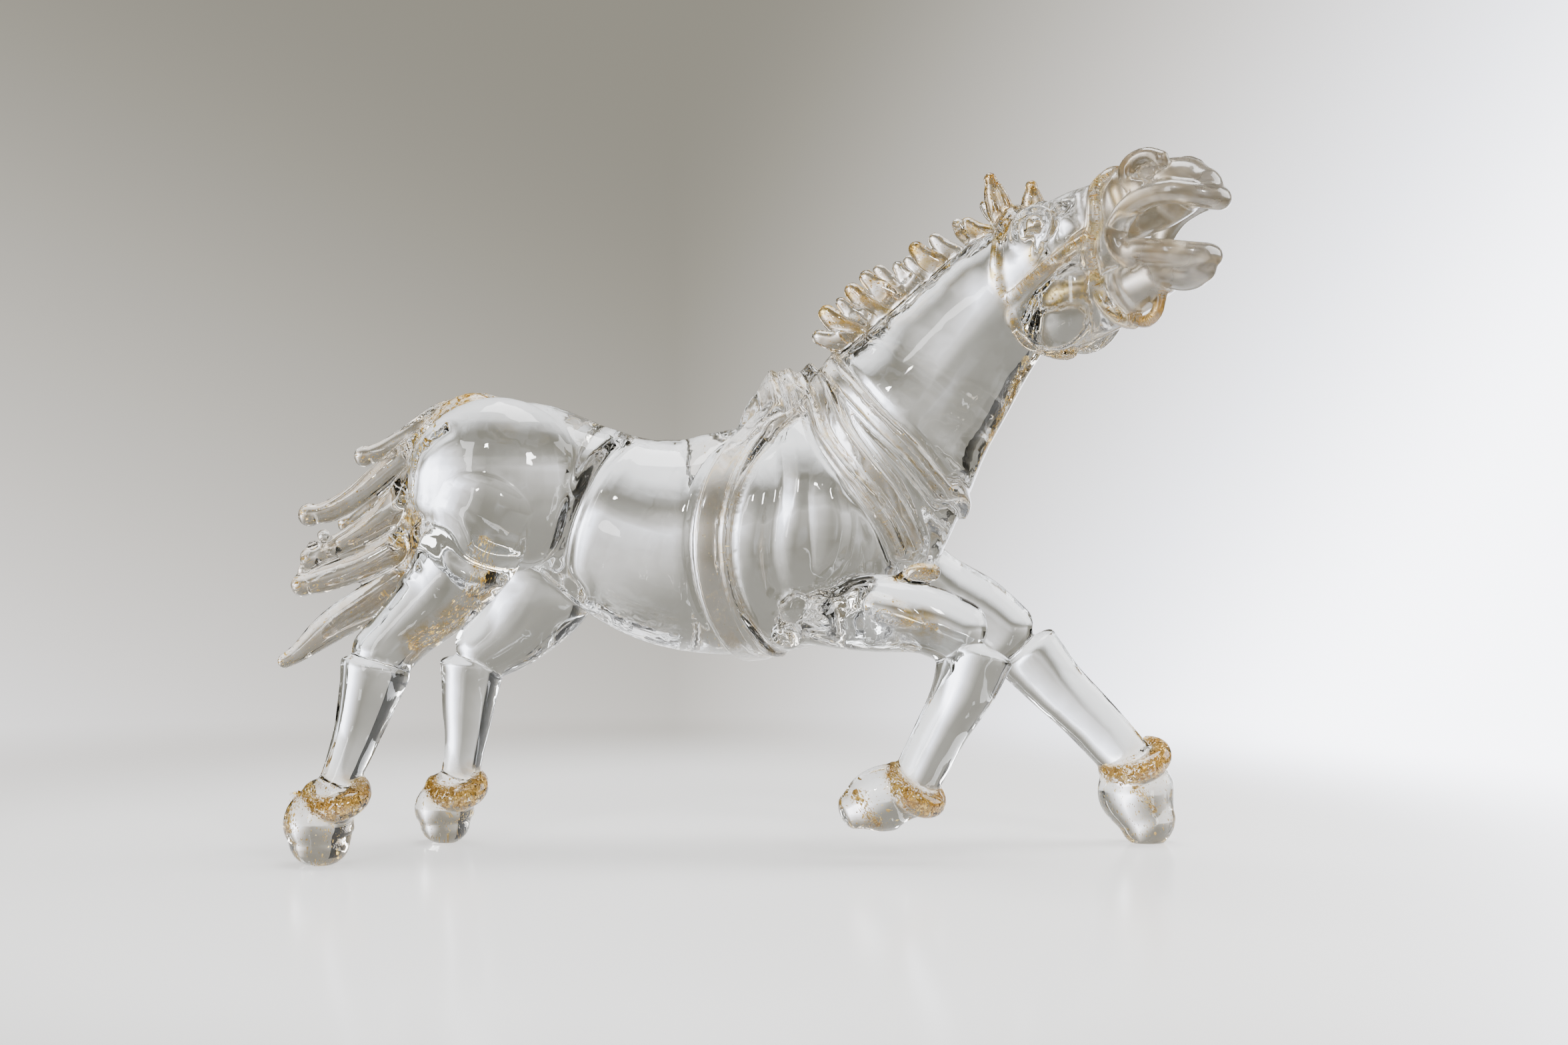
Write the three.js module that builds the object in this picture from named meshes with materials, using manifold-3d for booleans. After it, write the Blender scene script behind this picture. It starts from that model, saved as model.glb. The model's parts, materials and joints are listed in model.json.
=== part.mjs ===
// A running horse worked hot in solid clear glass, with gold leaf in its mane, tail, harness and hoof rolls.
// It is one solid: every gather and trail of glass was fused to the next while hot.
// Millimetres. +X is the way the horse runs, +Y its left side, +Z up, and the shelf is z = 0.
import * as THREE from "three";
import { mergeVertices } from "three/addons/utils/BufferGeometryUtils.js";
import Module from "manifold-3d";

const wasm = await Module();
wasm.setup();

// Sizes that are set by themselves.
const figureHeight = 330; // from the shelf to the top of the nose
const spine = 9; // the trunk's middle plane lies this far over, so that the weight falls between the feet
const harnessWidth = 15; // girth and breast strap, across the trail
const harnessThick = 8;
const collarWidth = 9; // the thinner trail round the root of the neck
const collarThick = 7;
const bridleWidth = 6.5;
const bridleThick = 5;
const tuftLength = 21; // mane
const tuftWidth = 9.5;
const tufts = 12;
const lipWidth = 11;
const hoofRollWidth = 8.5;
const nostrilRollWidth = 7.5;
const earLength = 23;
const sunk = 0.3; // the share of a trail's thickness that is melted into what it lies on

// The figure's own form is kept as shares of its height: the rows below are drawn for one this high.
const drawnHeight = 330;
const unit = figureHeight / drawnHeight;
const drawn = (rows) => rows.map((row) => row.map((size) => size * unit));
const drawnLump = ({ at, half }) => ({ at: at.map((v) => v * unit), half: half.map((v) => v * unit) });

// The figure's own sections: each row is [x, y, z, half width across, half depth].
// The figure is drawn about a place below its girth; where the shelf's origin falls is worked out at the end.
const trunkRows = drawn([
  [-156, spine, 188, 25, 25],
  [-132, spine, 186, 33, 36],
  [-102, spine, 172, 35, 40],
  [-77, spine, 159, 40, 47],
  [-54, spine, 152, 44, 52],
  [-31, spine, 151, 47, 55],
  [-6, spine, 154, 48, 57],
  [23, spine, 163, 46, 60],
  [44, spine, 162, 41, 52],
  [60, spine, 160, 31, 38],
]);
const neckRows = drawn([
  [34, spine, 168, 42, 49],
  [54, spine, 205, 39, 47],
  [74, 6, 231, 33, 40],
  [95, 0, 257, 28, 34],
  [111, -7, 275, 25, 30],
  [120, -13, 284, 22, 25],
]);
const withers = drawnLump({ at: [10, spine, 203], half: [33, 22, 33] });
const haunch = drawnLump({ at: [-139, spine - 21, 179], half: [43, 27, 43] });
const shoulder = drawnLump({ at: [20, spine - 23, 160], half: [29, 25, 44] });
const breast = drawnLump({ at: [60, spine - 15, 168], half: [17, 16, 24] });

const nearThigh = drawn([
  [-141, -22, 171, 22, 27],
  [-150, -24, 148, 20, 24],
  [-164, -28, 127, 16, 20],
  [-181, -33, 109, 13, 15.5],
  [-191, -36, 97, 12, 15],
]);
const nearHindShin = drawn([
  [-193, -36, 92, 14, 17],
  [-196, -37, 80, 12.5, 14.5],
  [-201, -39, 62, 10, 11.5],
  [-207, -41, 45, 8.5, 9.5],
  [-212, -42, 32, 9, 9.5],
]);
const nearHindHoof = drawn([
  [-214, -42, 30, 13, 13.5],
  [-218, -42, 20, 15.5, 17],
  [-218, -43, 11, 13, 14.5],
]);
const farThigh = drawn([
  [-118, 22, 158, 20, 29],
  [-121, 25, 131, 18, 28],
  [-136, 29, 109, 15, 21],
  [-152, 31, 96, 13, 16],
]);
const farHindShin = drawn([
  [-157, 32, 90, 14, 16.5],
  [-159, 33, 70, 11.5, 13.5],
  [-161, 34, 49, 9.5, 10.5],
  [-164, 34, 31, 8.5, 9.5],
]);
const farHindHoof = drawn([
  [-168, 34, 26, 12, 12.5],
  [-171, 34, 17, 14.5, 15.5],
  [-171, 34, 10.5, 12.5, 13],
]);
const nearForearm = drawn([
  [4, -27, 113, 9, 9],
  [22, -31, 116, 14, 15],
  [45, -33, 118, 16, 18.5],
  [67, -34, 115, 15, 16.5],
  [84, -33, 108, 14, 16],
]);
const nearForeShin = drawn([
  [91, -33, 99, 14.5, 18.5],
  [85, -33, 81, 13, 15],
  [75, -33, 63, 11.5, 12.5],
  [66, -33, 45, 10.5, 12],
  [62, -33, 37, 10, 11],
]);
const nearForeHoof = drawn([
  [62, -33, 31, 10, 10],
  [52, -33, 31, 13.5, 15.5],
  [41, -33, 28, 13.5, 14.5],
  [32, -33, 24, 10, 9],
]);
const farForearm = drawn([
  [51, 22, 142, 20, 27],
  [75, 28, 130, 15, 18],
  [97, 31, 118, 14, 17],
  [113, 32, 106, 13, 15.5],
]);
const farForeShin = drawn([
  [123, 33, 96, 14, 17.5],
  [137, 33, 80, 12.5, 15],
  [150, 33, 67, 11.5, 14],
  [163, 33, 53, 10.5, 13.5],
  [173, 33, 42, 10, 13],
]);
const farForeHoof = drawn([
  [176, 33, 36, 13, 17],
  [178, 33, 25, 14.5, 19.5],
  [183, 33, 12, 12, 14.5],
]);

const tailRows = [
  // the root, drawn down the back of the rump
  [
    [-136, 1, 216, 8, 6],
    [-154, 0, 217, 9, 8],
    [-169, -1, 205, 10, 9],
    [-177, -2, 186, 11, 9],
    [-181, -4, 162, 11, 8],
    [-181, -6, 140, 9, 7],
  ],
  // the locks, from the top one down
  [
    [-150, 0, 219, 6, 6],
    [-168, 1, 213, 7, 7],
    [-183, 2, 204, 6.5, 6],
    [-196, 3, 197, 5.5, 5],
    [-206, 3, 194, 4.5, 4.5],
  ],
  [
    [-176, -5, 200, 7, 7],
    [-189, -8, 190, 6.5, 6.5],
    [-206, -12, 175, 6.5, 6],
    [-219, -14, 167, 5.5, 5.5],
    [-229, -15, 165, 4.5, 4.5],
  ],
  [
    [-175, -6, 186, 8, 9],
    [-186, -10, 172, 6, 9],
    [-198, -13, 161, 5.5, 7],
    [-211, -15, 153, 5.5, 5.5],
    [-228, -17, 144, 4.5, 4.5],
  ],
  [
    [-177, -7, 158, 8, 8],
    [-187, -11, 149, 7.5, 8],
    [-204, -15, 140, 7, 7],
    [-221, -17, 134, 6, 6.5],
    [-232, -17, 131, 4.5, 5],
  ],
  [
    [-178, -7, 139, 8, 9],
    [-187, -11, 131, 7.5, 9.5],
    [-202, -14, 121, 7, 9.5],
    [-218, -16, 111, 6, 8],
    [-233, -17, 99, 4.5, 5],
    [-241, -17, 94, 3.5, 3.5],
  ],
  [
    [-176, 6, 194, 7, 8],
    [-189, 11, 181, 6.5, 7],
    [-204, 15, 169, 6, 6],
    [-217, 17, 161, 4.5, 4.5],
  ],
  [
    [-178, 5, 168, 8, 8],
    [-190, 10, 156, 7, 8],
    [-206, 14, 148, 6, 7],
    [-224, 16, 143, 4.5, 5],
  ],
  [
    [-178, 3, 146, 8, 9],
    [-192, 8, 133, 7.5, 8],
    [-209, 12, 121, 6.5, 7],
    [-225, 13, 112, 4.5, 5],
  ],
].map(drawn);

// The head has its own frame: a along the face from the poll, b up through the forehead, c to the near side.
const headAt = new THREE.Vector3(112, -10, 285).multiplyScalar(unit);
const headTurn = 45; // degrees towards the near side
const headLift = 14; // degrees above level
const skullRows = drawn([
  [-4, -2, 0, 18, 20],
  [12, -3, 0, 22, 28],
  [30, -4, 0, 22, 29],
  [48, 1, 0, 18, 23],
  [68, 5, 0, 16, 17],
  [88, 5, 0, 16, 16],
  [103, 4, 0, 15, 13],
  [112, 0, 0, 11, 9],
]);
const jawRows = drawn([
  [20, -32, 0, 15, 17],
  [45, -34, 0, 13, 14],
  [65, -33, 0, 12, 12],
  [84, -31, 0, 13, 9],
  [94, -34, 0, 13, 9],
  [101, -34, 0, 10, 8],
]);
const cheek = drawnLump({ at: [28, -26, 11], half: [24, 25, 12] });
const eyeBall = drawnLump({ at: [30, 8, 19], half: [7, 6, 5] });
const eyeRing = drawnLump({ at: [30, 8, 19.5], half: [10.5, 8.5] });
const eyeRingWidth = 4;
const upperLip = drawn([
  [77, -23, 15],
  [73, -17, 17],
  [74, -9, 18],
  [83, -2, 18.5],
  [94, 0, 18],
  [104, -1, 15.5],
  [111, -4, 11],
  [116, -6.5, 5],
  [117, -7, 0],
]);
const lowerLip = drawn([
  [79, -20, 16],
  [87, -23, 16],
  [96, -26.5, 14],
  [102, -29, 9.5],
  [105, -30, 5],
  [105.5, -30, 0],
]);
const nostril = drawn([
  [92, 6, 18],
  [86, 9, 18],
  [85.5, 15, 18],
  [90, 19, 17],
  [97, 19, 15.5],
  [103, 15, 14],
]);
const ear = drawnLump({ at: [8, 19, 12], half: [6, 4.2] });
const earLean = [0, 0.98, 0.17];

// The bridle and the harness lie on the glass; each point is only roughly where a trail passes.
const throatStrap = drawn([
  [10, 25, -2],
  [12, 21, 10],
  [10, 11, 18],
  [7, -1, 21],
  [4, -12, 22],
  [4, -24, 21],
  [6, -35, 18],
  [9, -43, 12],
  [17, -50, 4],
  [22, -52, -3],
]);
const noseBand = drawn([
  [70, 24, -2],
  [69, 23, 10],
  [64, 18, 17],
  [64, 8, 19],
  [61, -3, 20],
  [56, -12, 20],
  [54, -22, 18],
  [54, -32, 15],
  [57, -42, 9],
  [60, -46, -2],
]);
const cheekStrap = drawn([
  [56, -6, 20],
  [42, -11, 21],
  [26, -17, 24],
  [8, -22, 21],
]);
const curbLoop = drawn([
  [61, -45, 2],
  [69, -50, 3],
  [76, -48, 3],
  [80, -40, 2],
]);
const girthStrap = drawn([
  [-12, -4, 228],
  [-20, 22, 218],
  [-27, 42, 198],
  [-33, 48, 170],
  [-35, 49, 148],
  [-31, 42, 124],
  [-19, 24, 101],
  [-6, -4, 92],
]);
const breastStrap = drawn([
  [8, -4, 238],
  [12, 26, 226],
  [20, 42, 206],
  [36, 48, 186],
  [52, 46, 167],
  [63, 38, 146],
]);
const collar = drawn([
  [21, -5, 244],
  [28, 24, 232],
  [42, 38, 214],
  [60, 38, 196],
  [74, 26, 178],
  [82, -5, 165],
]);

// Vectors and frames.
const vec = (p) => new THREE.Vector3(p[0], p[1], p[2]);
const acrossBody = new THREE.Vector3(0, 1, 0);
const turn = THREE.MathUtils.degToRad(headTurn);
const lift = THREE.MathUtils.degToRad(headLift);
const face = new THREE.Vector3(
  Math.cos(lift) * Math.cos(turn),
  -Math.cos(lift) * Math.sin(turn),
  Math.sin(lift),
);
const acrossHead = new THREE.Vector3(-Math.sin(turn), -Math.cos(turn), 0);
const forehead = new THREE.Vector3().crossVectors(acrossHead, face);
const headFrame = new THREE.Matrix4().makeBasis(face, forehead, acrossHead).setPosition(headAt);
const onHead = (p) => vec(p).applyMatrix4(headFrame);
const headRow = ([a, b, c, ...sizes]) => [...onHead([a, b, c]).toArray(), ...sizes];
const middlePlane = spine * unit;
const nearSide = (rows) => rows.map(([x, out, ...rest]) => [x, middlePlane - out, ...rest]);
const farSide = (rows) => rows.map(([x, out, ...rest]) => [x, middlePlane + out, ...rest]);
const farCheek = (rows) => rows.map(([a, b, c, ...rest]) => [a, b, -c, ...rest]);

function solidOf(geometry) {
  const bare = geometry.clone();
  bare.deleteAttribute("normal");
  bare.deleteAttribute("uv");
  const merged = mergeVertices(bare, 1e-4);
  return new wasm.Manifold(
    new wasm.Mesh({
      numProp: 3,
      vertProperties: merged.attributes.position.array,
      triVerts: merged.index.array,
    }),
  );
}

const fuse = (solids) => solids.reduce((all, next) => all.add(next));

// Hot glass drawn out along rows of sections, with round ends.
// across says which way the sections' width lies: one vector, or one for each row.
function pull(rows, options = {}) {
  const { across = acrossBody, around = 9, step = 18, capRings = 2, startCap = 0.8, endCap = 0.8 } = options;
  const path = new THREE.CatmullRomCurve3(rows.map(vec), false, "catmullrom", 0.5);
  const sizes = new THREE.CatmullRomCurve3(
    rows.map((r) => new THREE.Vector3(r[3], r[4], 0)),
    false,
    "catmullrom",
    0.5,
  );
  const sides = new THREE.CatmullRomCurve3(
    rows.map((r, i) => (Array.isArray(across) ? across[i] : across)),
    false,
    "catmullrom",
    0.5,
  );
  const spans = Math.max(2, Math.round(path.getLength() / step));
  const rings = [];
  const addRing = (u, swell, past) => {
    const along = path.getTangent(u);
    const size = sizes.getPoint(u);
    const side = sides.getPoint(u).projectOnPlane(along).normalize();
    const reach = (Math.min(size.x, size.y) * 0.5 + Math.max(size.x, size.y) * 0.5) * past;
    rings.push({
      at: path.getPoint(u).addScaledVector(along, reach),
      side: side.clone().multiplyScalar(size.x * swell),
      deep: new THREE.Vector3().crossVectors(along, side).multiplyScalar(size.y * swell),
    });
  };
  const quarter = Math.PI / 2 / capRings;
  for (let i = 0; i < capRings; i++) addRing(0, Math.sin(i * quarter), -startCap * Math.cos(i * quarter));
  for (let i = 0; i <= spans; i++) addRing(i / spans, 1, 0);
  for (let i = 1; i <= capRings; i++) addRing(1, Math.cos(i * quarter), endCap * Math.sin(i * quarter));

  const ball = new THREE.SphereGeometry(1, around, rings.length - 1);
  const spots = ball.attributes.position;
  for (let row = 0; row < rings.length; row++) {
    const { at, side, deep } = rings[row];
    const pole = row === 0 || row === rings.length - 1;
    for (let i = 0; i <= around; i++) {
      const angle = ((i % around) / around) * 2 * Math.PI;
      const spot = at.clone();
      if (!pole) spot.addScaledVector(side, -Math.cos(angle)).addScaledVector(deep, Math.sin(angle));
      spots.setXYZ(row * (around + 1) + i, spot.x, spot.y, spot.z);
    }
  }
  return solidOf(ball);
}

// A rounded lump, in the body's frame or in the head's.
function lump({ at, half }, frame = new THREE.Matrix4(), around = 10, rows = 6) {
  const ball = new THREE.SphereGeometry(1, around, rows).scale(...half).translate(...at);
  return solidOf(ball.applyMatrix4(frame));
}

const otherSide = ({ at: [x, y, z], half }) => ({ at: [x, 2 * middlePlane - y, z], half });
const otherCheek = ({ at: [a, b, c], half }) => ({ at: [a, b, -c], half });

// Finds the glass under a point: looks from outside towards the nearest place on the core line.
function skinFinder(solid, core) {
  const mesh = solid.getMesh();
  const shell = new THREE.BufferGeometry();
  shell.setAttribute("position", new THREE.BufferAttribute(new Float32Array(mesh.vertProperties), 3));
  shell.setIndex(new THREE.BufferAttribute(new Uint32Array(mesh.triVerts), 1));
  const target = new THREE.Mesh(shell);
  const far = 200;
  return (point) => {
    let nearest = null;
    for (let i = 0; i + 1 < core.length; i++) {
      const stretch = new THREE.Line3(core[i], core[i + 1]);
      const spot = stretch.closestPointToPoint(point, true, new THREE.Vector3());
      if (!nearest || spot.distanceTo(point) < nearest.distanceTo(point)) nearest = spot;
    }
    const out = point.clone().sub(nearest).normalize();
    const ray = new THREE.Raycaster(nearest.clone().addScaledVector(out, far), out.clone().negate(), 0, far);
    const hit = ray.intersectObject(target)[0];
    return { at: hit ? hit.point : point, out };
  };
}

// A flat trail laid over the glass along rough points, sunk a little into it.
function layTrail(points, skin, width, thick, { around = 6, step = 20 } = {}) {
  const spots = points.map(skin);
  const rows = spots.map(({ at, out }) => [
    ...at.clone().addScaledVector(out, thick * (0.5 - sunk)).toArray(),
    width / 2,
    thick / 2,
  ]);
  const course = new THREE.CatmullRomCurve3(rows.map(vec), false, "catmullrom", 0.5);
  const across = spots.map(({ out }, i) =>
    new THREE.Vector3().crossVectors(course.getTangent(i / (spots.length - 1)), out).normalize(),
  );
  return pull(rows, { across, around, step, startCap: 0.5, endCap: 0.5 });
}

// A free round trail through points, such as a lip.
function rollAlong(points, width, across, options) {
  return pull(
    points.map((p) => [...p.toArray(), width / 2, width / 2]),
    { across, around: 6, step: 11, ...options },
  );
}

// A gold roll bent round the pastern, lowest at its middle.
function hoofRoll({ at, lean, reach, drop, from, to }) {
  const turns = 8;
  const up = vec(lean).normalize();
  const fore = new THREE.Vector3().crossVectors(acrossBody, up).normalize();
  const side = new THREE.Vector3().crossVectors(up, fore).normalize();
  const points = [];
  for (let i = 0; i <= turns; i++) {
    const angle = THREE.MathUtils.degToRad(from + ((to - from) * i) / turns);
    points.push(
      vec(at)
        .addScaledVector(fore, Math.cos(angle) * reach[0])
        .addScaledVector(side, Math.sin(angle) * reach[1])
        .addScaledVector(up, -drop * Math.sin((Math.PI * i) / turns))
        .multiplyScalar(unit),
    );
  }
  return rollAlong(points, hoofRollWidth, up, { around: 5, step: 12 });
}

// The body, neck and legs: clear glass.
const body = fuse([
  pull(trunkRows, { around: 14, step: 26, capRings: 3, endCap: 0.6 }),
  pull(neckRows, { around: 12, step: 22 }),
  lump(haunch, undefined, 12, 8),
  lump(otherSide(haunch), undefined, 12, 8),
  lump(shoulder),
  lump(otherSide(shoulder)),
  lump(breast),
  lump(otherSide(breast)),
  lump(withers),
]);

const legs = [
  pull(nearThigh),
  pull(nearHindShin, { startCap: 0.3 }),
  pull(nearHindHoof, { step: 10, endCap: 0.9 }),
  pull(farThigh),
  pull(farHindShin, { startCap: 0.3 }),
  pull(farHindHoof, { step: 10, endCap: 0.93 }),
  pull(nearForearm),
  pull(nearForeShin, { startCap: 0.3 }),
  pull(nearForeHoof, { step: 10, endCap: 0.6 }),
  pull(farForearm),
  pull(farForeShin, { startCap: 0.3 }),
  pull(farForeHoof, { step: 10, endCap: 1.12 }),
];

const rolls = [
  hoofRoll({ at: [-211, -42, 36], lean: [-0.3, 0, 1], reach: [11, 11], drop: 9, from: 170, to: 400 }),
  hoofRoll({ at: [-166, 34, 32], lean: [-0.2, 0, 1], reach: [11, 11], drop: 9, from: 170, to: 400 }),
  hoofRoll({ at: [63, -33, 38], lean: [0.5, 0, 1], reach: [12, 11], drop: 8, from: 170, to: 400 }),
  hoofRoll({ at: [175, 33, 44], lean: [-0.5, 0, 1], reach: [14, 11], drop: 8, from: 170, to: 400 }),
];

const tail = tailRows.map((rows) => pull(rows, { around: 5, step: 20 }));

// The mane: a row of pinched tufts along the crest, leaning back, turned to one side and the other.
function mane(skin) {
  const crest = new THREE.CatmullRomCurve3(neckRows.slice(1).map(vec));
  const half = tuftWidth / 2;
  const row = [];
  for (let i = 0; i < tufts; i++) {
    const side = i % 2 ? 1 : -1;
    const middle = crest.getPoint((i + 0.2) / tufts);
    const root = skin(middle.clone().add(new THREE.Vector3(-38, 4 * side, 40))).at;
    const reach = tuftLength * (1 + 0.14 * Math.sin(i * 2.4));
    const lean = new THREE.Vector3(-0.8, 0.12 * side, 0.64 + 0.12 * Math.cos(i * 1.9));
    const at = (share) => root.clone().addScaledVector(lean, share * reach).toArray();
    const sections = [
      [...at(-0.3), half, half * 1.15],
      [...at(0.45), half * 1.1, half * 1.1],
      [...at(0.8), half * 0.85, half * 0.85],
    ];
    row.push(pull(sections, { around: 5, step: 16 }));
  }
  return row;
}

// The head: skull, jaw, cheeks, lips, nostrils, eyes and ears.
const bothCheeks = (piece, around, rows) =>
  [piece, otherCheek(piece)].map((p) => lump(p, headFrame, around, rows));
const skull = fuse([
  pull(skullRows.map(headRow), { across: acrossHead, around: 10, step: 20 }),
  pull(jawRows.map(headRow), { across: acrossHead, around: 10, step: 20 }),
  ...bothCheeks(cheek),
]);

function lidOf(sign) {
  const turns = 10;
  const points = [];
  for (let i = 0; i <= turns; i++) {
    const angle = (2 * Math.PI * i) / turns + 0.2;
    points.push(
      onHead([
        eyeRing.at[0] + eyeRing.half[0] * Math.cos(angle),
        eyeRing.at[1] + eyeRing.half[1] * Math.sin(angle),
        sign * (eyeRing.at[2] + 0.5 - 0.5 * Math.abs(Math.sin(angle))),
      ]),
    );
  }
  // An almost closed ring, in two halves so that neither runs into itself.
  const middle = turns / 2;
  return [points.slice(0, middle + 1), points.slice(middle)].map((half) =>
    rollAlong(half, eyeRingWidth, acrossHead, { around: 4, step: 9, capRings: 1 }),
  );
}

function earOf(sign) {
  const lean = vec([earLean[0], earLean[1], sign * earLean[2]]).transformDirection(headFrame);
  const root = onHead([ear.at[0], ear.at[1], sign * ear.at[2]]);
  const row = (share, wide, deep) => [
    ...root.clone().addScaledVector(lean, share * earLength).toArray(),
    ear.half[0] * wide,
    ear.half[1] * deep,
  ];
  return pull([row(-0.2, 0.7, 1), row(0.25, 1, 1), row(0.65, 0.75, 0.9), row(0.9, 0.35, 0.6)], {
    across: face.clone().add(acrossHead.clone().multiplyScalar(0.6 * sign)),
    around: 6,
    step: 9,
  });
}

function lipAlong(points, width) {
  const whole = [...points, ...farCheek(points.slice(0, -1)).reverse()].map(onHead);
  return rollAlong(whole, width, forehead, { step: 11 });
}

const features = [
  ...bothCheeks(eyeBall, 7, 5),
  ...lidOf(1),
  ...lidOf(-1),
  earOf(1),
  earOf(-1),
  lipAlong(upperLip, lipWidth),
  lipAlong(lowerLip, lipWidth),
  rollAlong(nostril.map(onHead), nostrilRollWidth, acrossHead, { around: 6 }),
  rollAlong(farCheek(nostril).map(onHead), nostrilRollWidth, acrossHead, { around: 6 }),
];

// The harness and bridle are laid last, over the glass that is there.
const bodySkin = skinFinder(body, [...trunkRows.slice(0, -1), ...neckRows].map(vec));
const headSkin = skinFinder(
  skull,
  skullRows.map(([a, b, c]) => onHead([a, b - 6, c])),
);
const bothSides = (points, width, thick) =>
  [nearSide(points), farSide(points)].map((way) => layTrail(way.map(vec), bodySkin, width, thick));
const onBothCheeks = (points) =>
  [points, farCheek(points)].map((way) =>
    layTrail(way.map(onHead), headSkin, bridleWidth, bridleThick, { around: 4, step: 20 }),
  );

const harness = [
  ...bothSides(girthStrap, harnessWidth, harnessThick),
  ...bothSides(breastStrap, harnessWidth, harnessThick),
  ...bothSides(collar, collarWidth, collarThick),
];
const bridle = [throatStrap, noseBand, cheekStrap].flatMap(onBothCheeks);
const curb = rollAlong(curbLoop.map(onHead), bridleThick, acrossHead, { around: 6 });

const fused = fuse([
  body,
  ...legs,
  ...rolls,
  ...tail,
  ...mane(bodySkin),
  skull,
  ...features,
  ...harness,
  ...bridle,
  curb,
]);

// The three standing feet are ground flat, and the shelf under them is z = 0.
const shelfSize = 900;
const shelf = solidOf(
  new THREE.BoxGeometry(shelfSize, shelfSize, shelfSize).translate(0, 0, -shelfSize / 2),
);
const standing = fused.subtract(shelf);

// Slivers of no volume between two trails are left out.
const whole = standing.decompose().reduce((big, next) => (next.volume() > big.volume() ? next : big));
const mesh = whole.getMesh();
const geometry = new THREE.BufferGeometry();
geometry.setAttribute("position", new THREE.BufferAttribute(new Float32Array(mesh.vertProperties), 3));
geometry.setIndex(new THREE.BufferAttribute(new Uint32Array(mesh.triVerts), 1));
geometry.computeBoundingBox();
const middle = geometry.boundingBox.getCenter(new THREE.Vector3());

const clearGlass = new THREE.MeshStandardMaterial({
  color: 0xdfe3e2,
  roughness: 0.04,
  metalness: 0,
  transparent: true,
  opacity: 0.35,
});
const horse = new THREE.Mesh(geometry, clearGlass);
horse.name = "horse";
horse.position.set(-middle.x, -middle.y, 0);

const figure = new THREE.Group();
figure.add(horse);
export default figure;
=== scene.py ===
import json
import math

import bpy
import numpy as np
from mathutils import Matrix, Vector
from mathutils.bvhtree import BVHTree

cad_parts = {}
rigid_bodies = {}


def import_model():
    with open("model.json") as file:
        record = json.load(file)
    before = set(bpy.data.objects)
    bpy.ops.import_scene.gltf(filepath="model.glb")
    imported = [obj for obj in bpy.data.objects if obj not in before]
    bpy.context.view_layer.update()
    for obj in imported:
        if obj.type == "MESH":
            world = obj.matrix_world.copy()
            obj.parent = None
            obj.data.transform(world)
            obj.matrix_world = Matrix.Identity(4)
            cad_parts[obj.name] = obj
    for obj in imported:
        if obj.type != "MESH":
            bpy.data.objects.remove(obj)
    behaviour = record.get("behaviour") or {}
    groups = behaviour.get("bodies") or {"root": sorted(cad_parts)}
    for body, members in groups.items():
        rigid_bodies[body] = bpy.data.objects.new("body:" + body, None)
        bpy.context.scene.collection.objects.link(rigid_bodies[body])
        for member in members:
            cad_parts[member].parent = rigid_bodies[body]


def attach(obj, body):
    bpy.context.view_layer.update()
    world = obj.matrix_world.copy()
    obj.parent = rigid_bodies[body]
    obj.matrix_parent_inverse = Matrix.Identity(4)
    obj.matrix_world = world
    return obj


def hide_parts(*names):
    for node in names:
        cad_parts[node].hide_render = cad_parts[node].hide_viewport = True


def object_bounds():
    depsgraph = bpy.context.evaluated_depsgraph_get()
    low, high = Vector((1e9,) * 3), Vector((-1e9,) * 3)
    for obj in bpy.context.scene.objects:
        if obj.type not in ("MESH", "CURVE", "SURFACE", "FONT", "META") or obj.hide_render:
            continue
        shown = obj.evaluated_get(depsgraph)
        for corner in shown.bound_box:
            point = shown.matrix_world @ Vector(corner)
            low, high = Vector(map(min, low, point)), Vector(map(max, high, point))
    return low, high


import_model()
cadBox = [list(corner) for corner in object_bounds()]

# The horse is drawn in millimetres about a place below its girth, +X the way it runs.
# Each row of a gather or trail is [x, y, z, half width across, half depth].
drawing = {
    "scale": 0.001,
    "place": (21.0, 19.9, 0.0),  # from the drawn origin to the figure's own, under its feet
    "spine": 9,  # the trunk's middle plane
    "thinnest": 0.2,
}
spine = drawing["spine"]
crosswise = (0, 1, 0)


def deselectAll():
    for item in bpy.context.view_layer.objects:
        item.select_set(False)


def toMetres(points):
    return (np.asarray(points, float) + drawing["place"]) * drawing["scale"]


def toDrawing(points):
    return np.asarray(points, float) / drawing["scale"] - drawing["place"]


def unit(v):
    v = np.asarray(v, float)
    return v / (np.linalg.norm(v, axis=-1, keepdims=True) + 1e-12)


# a smooth course through rows, and its direction at each place
def throughRows(rows, perSpan):
    rows = np.asarray(rows, float)
    ends = np.vstack([2 * rows[0] - rows[1], rows, 2 * rows[-1] - rows[-2]])
    places, leads = [], []
    for i in range(len(rows) - 1):
        a, b, c, d = ends[i : i + 4]
        last = i == len(rows) - 2
        for k in range(perSpan + last):
            t = k / perSpan
            square, cube = 2 * a - 5 * b + 4 * c - d, 3 * b - a - 3 * c + d
            places.append(0.5 * (2 * b + (c - a) * t + square * t**2 + cube * t**3))
            leads.append(0.5 * ((c - a) + 2 * square * t + 3 * cube * t**2))
    return np.array(places), np.array(leads)


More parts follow.
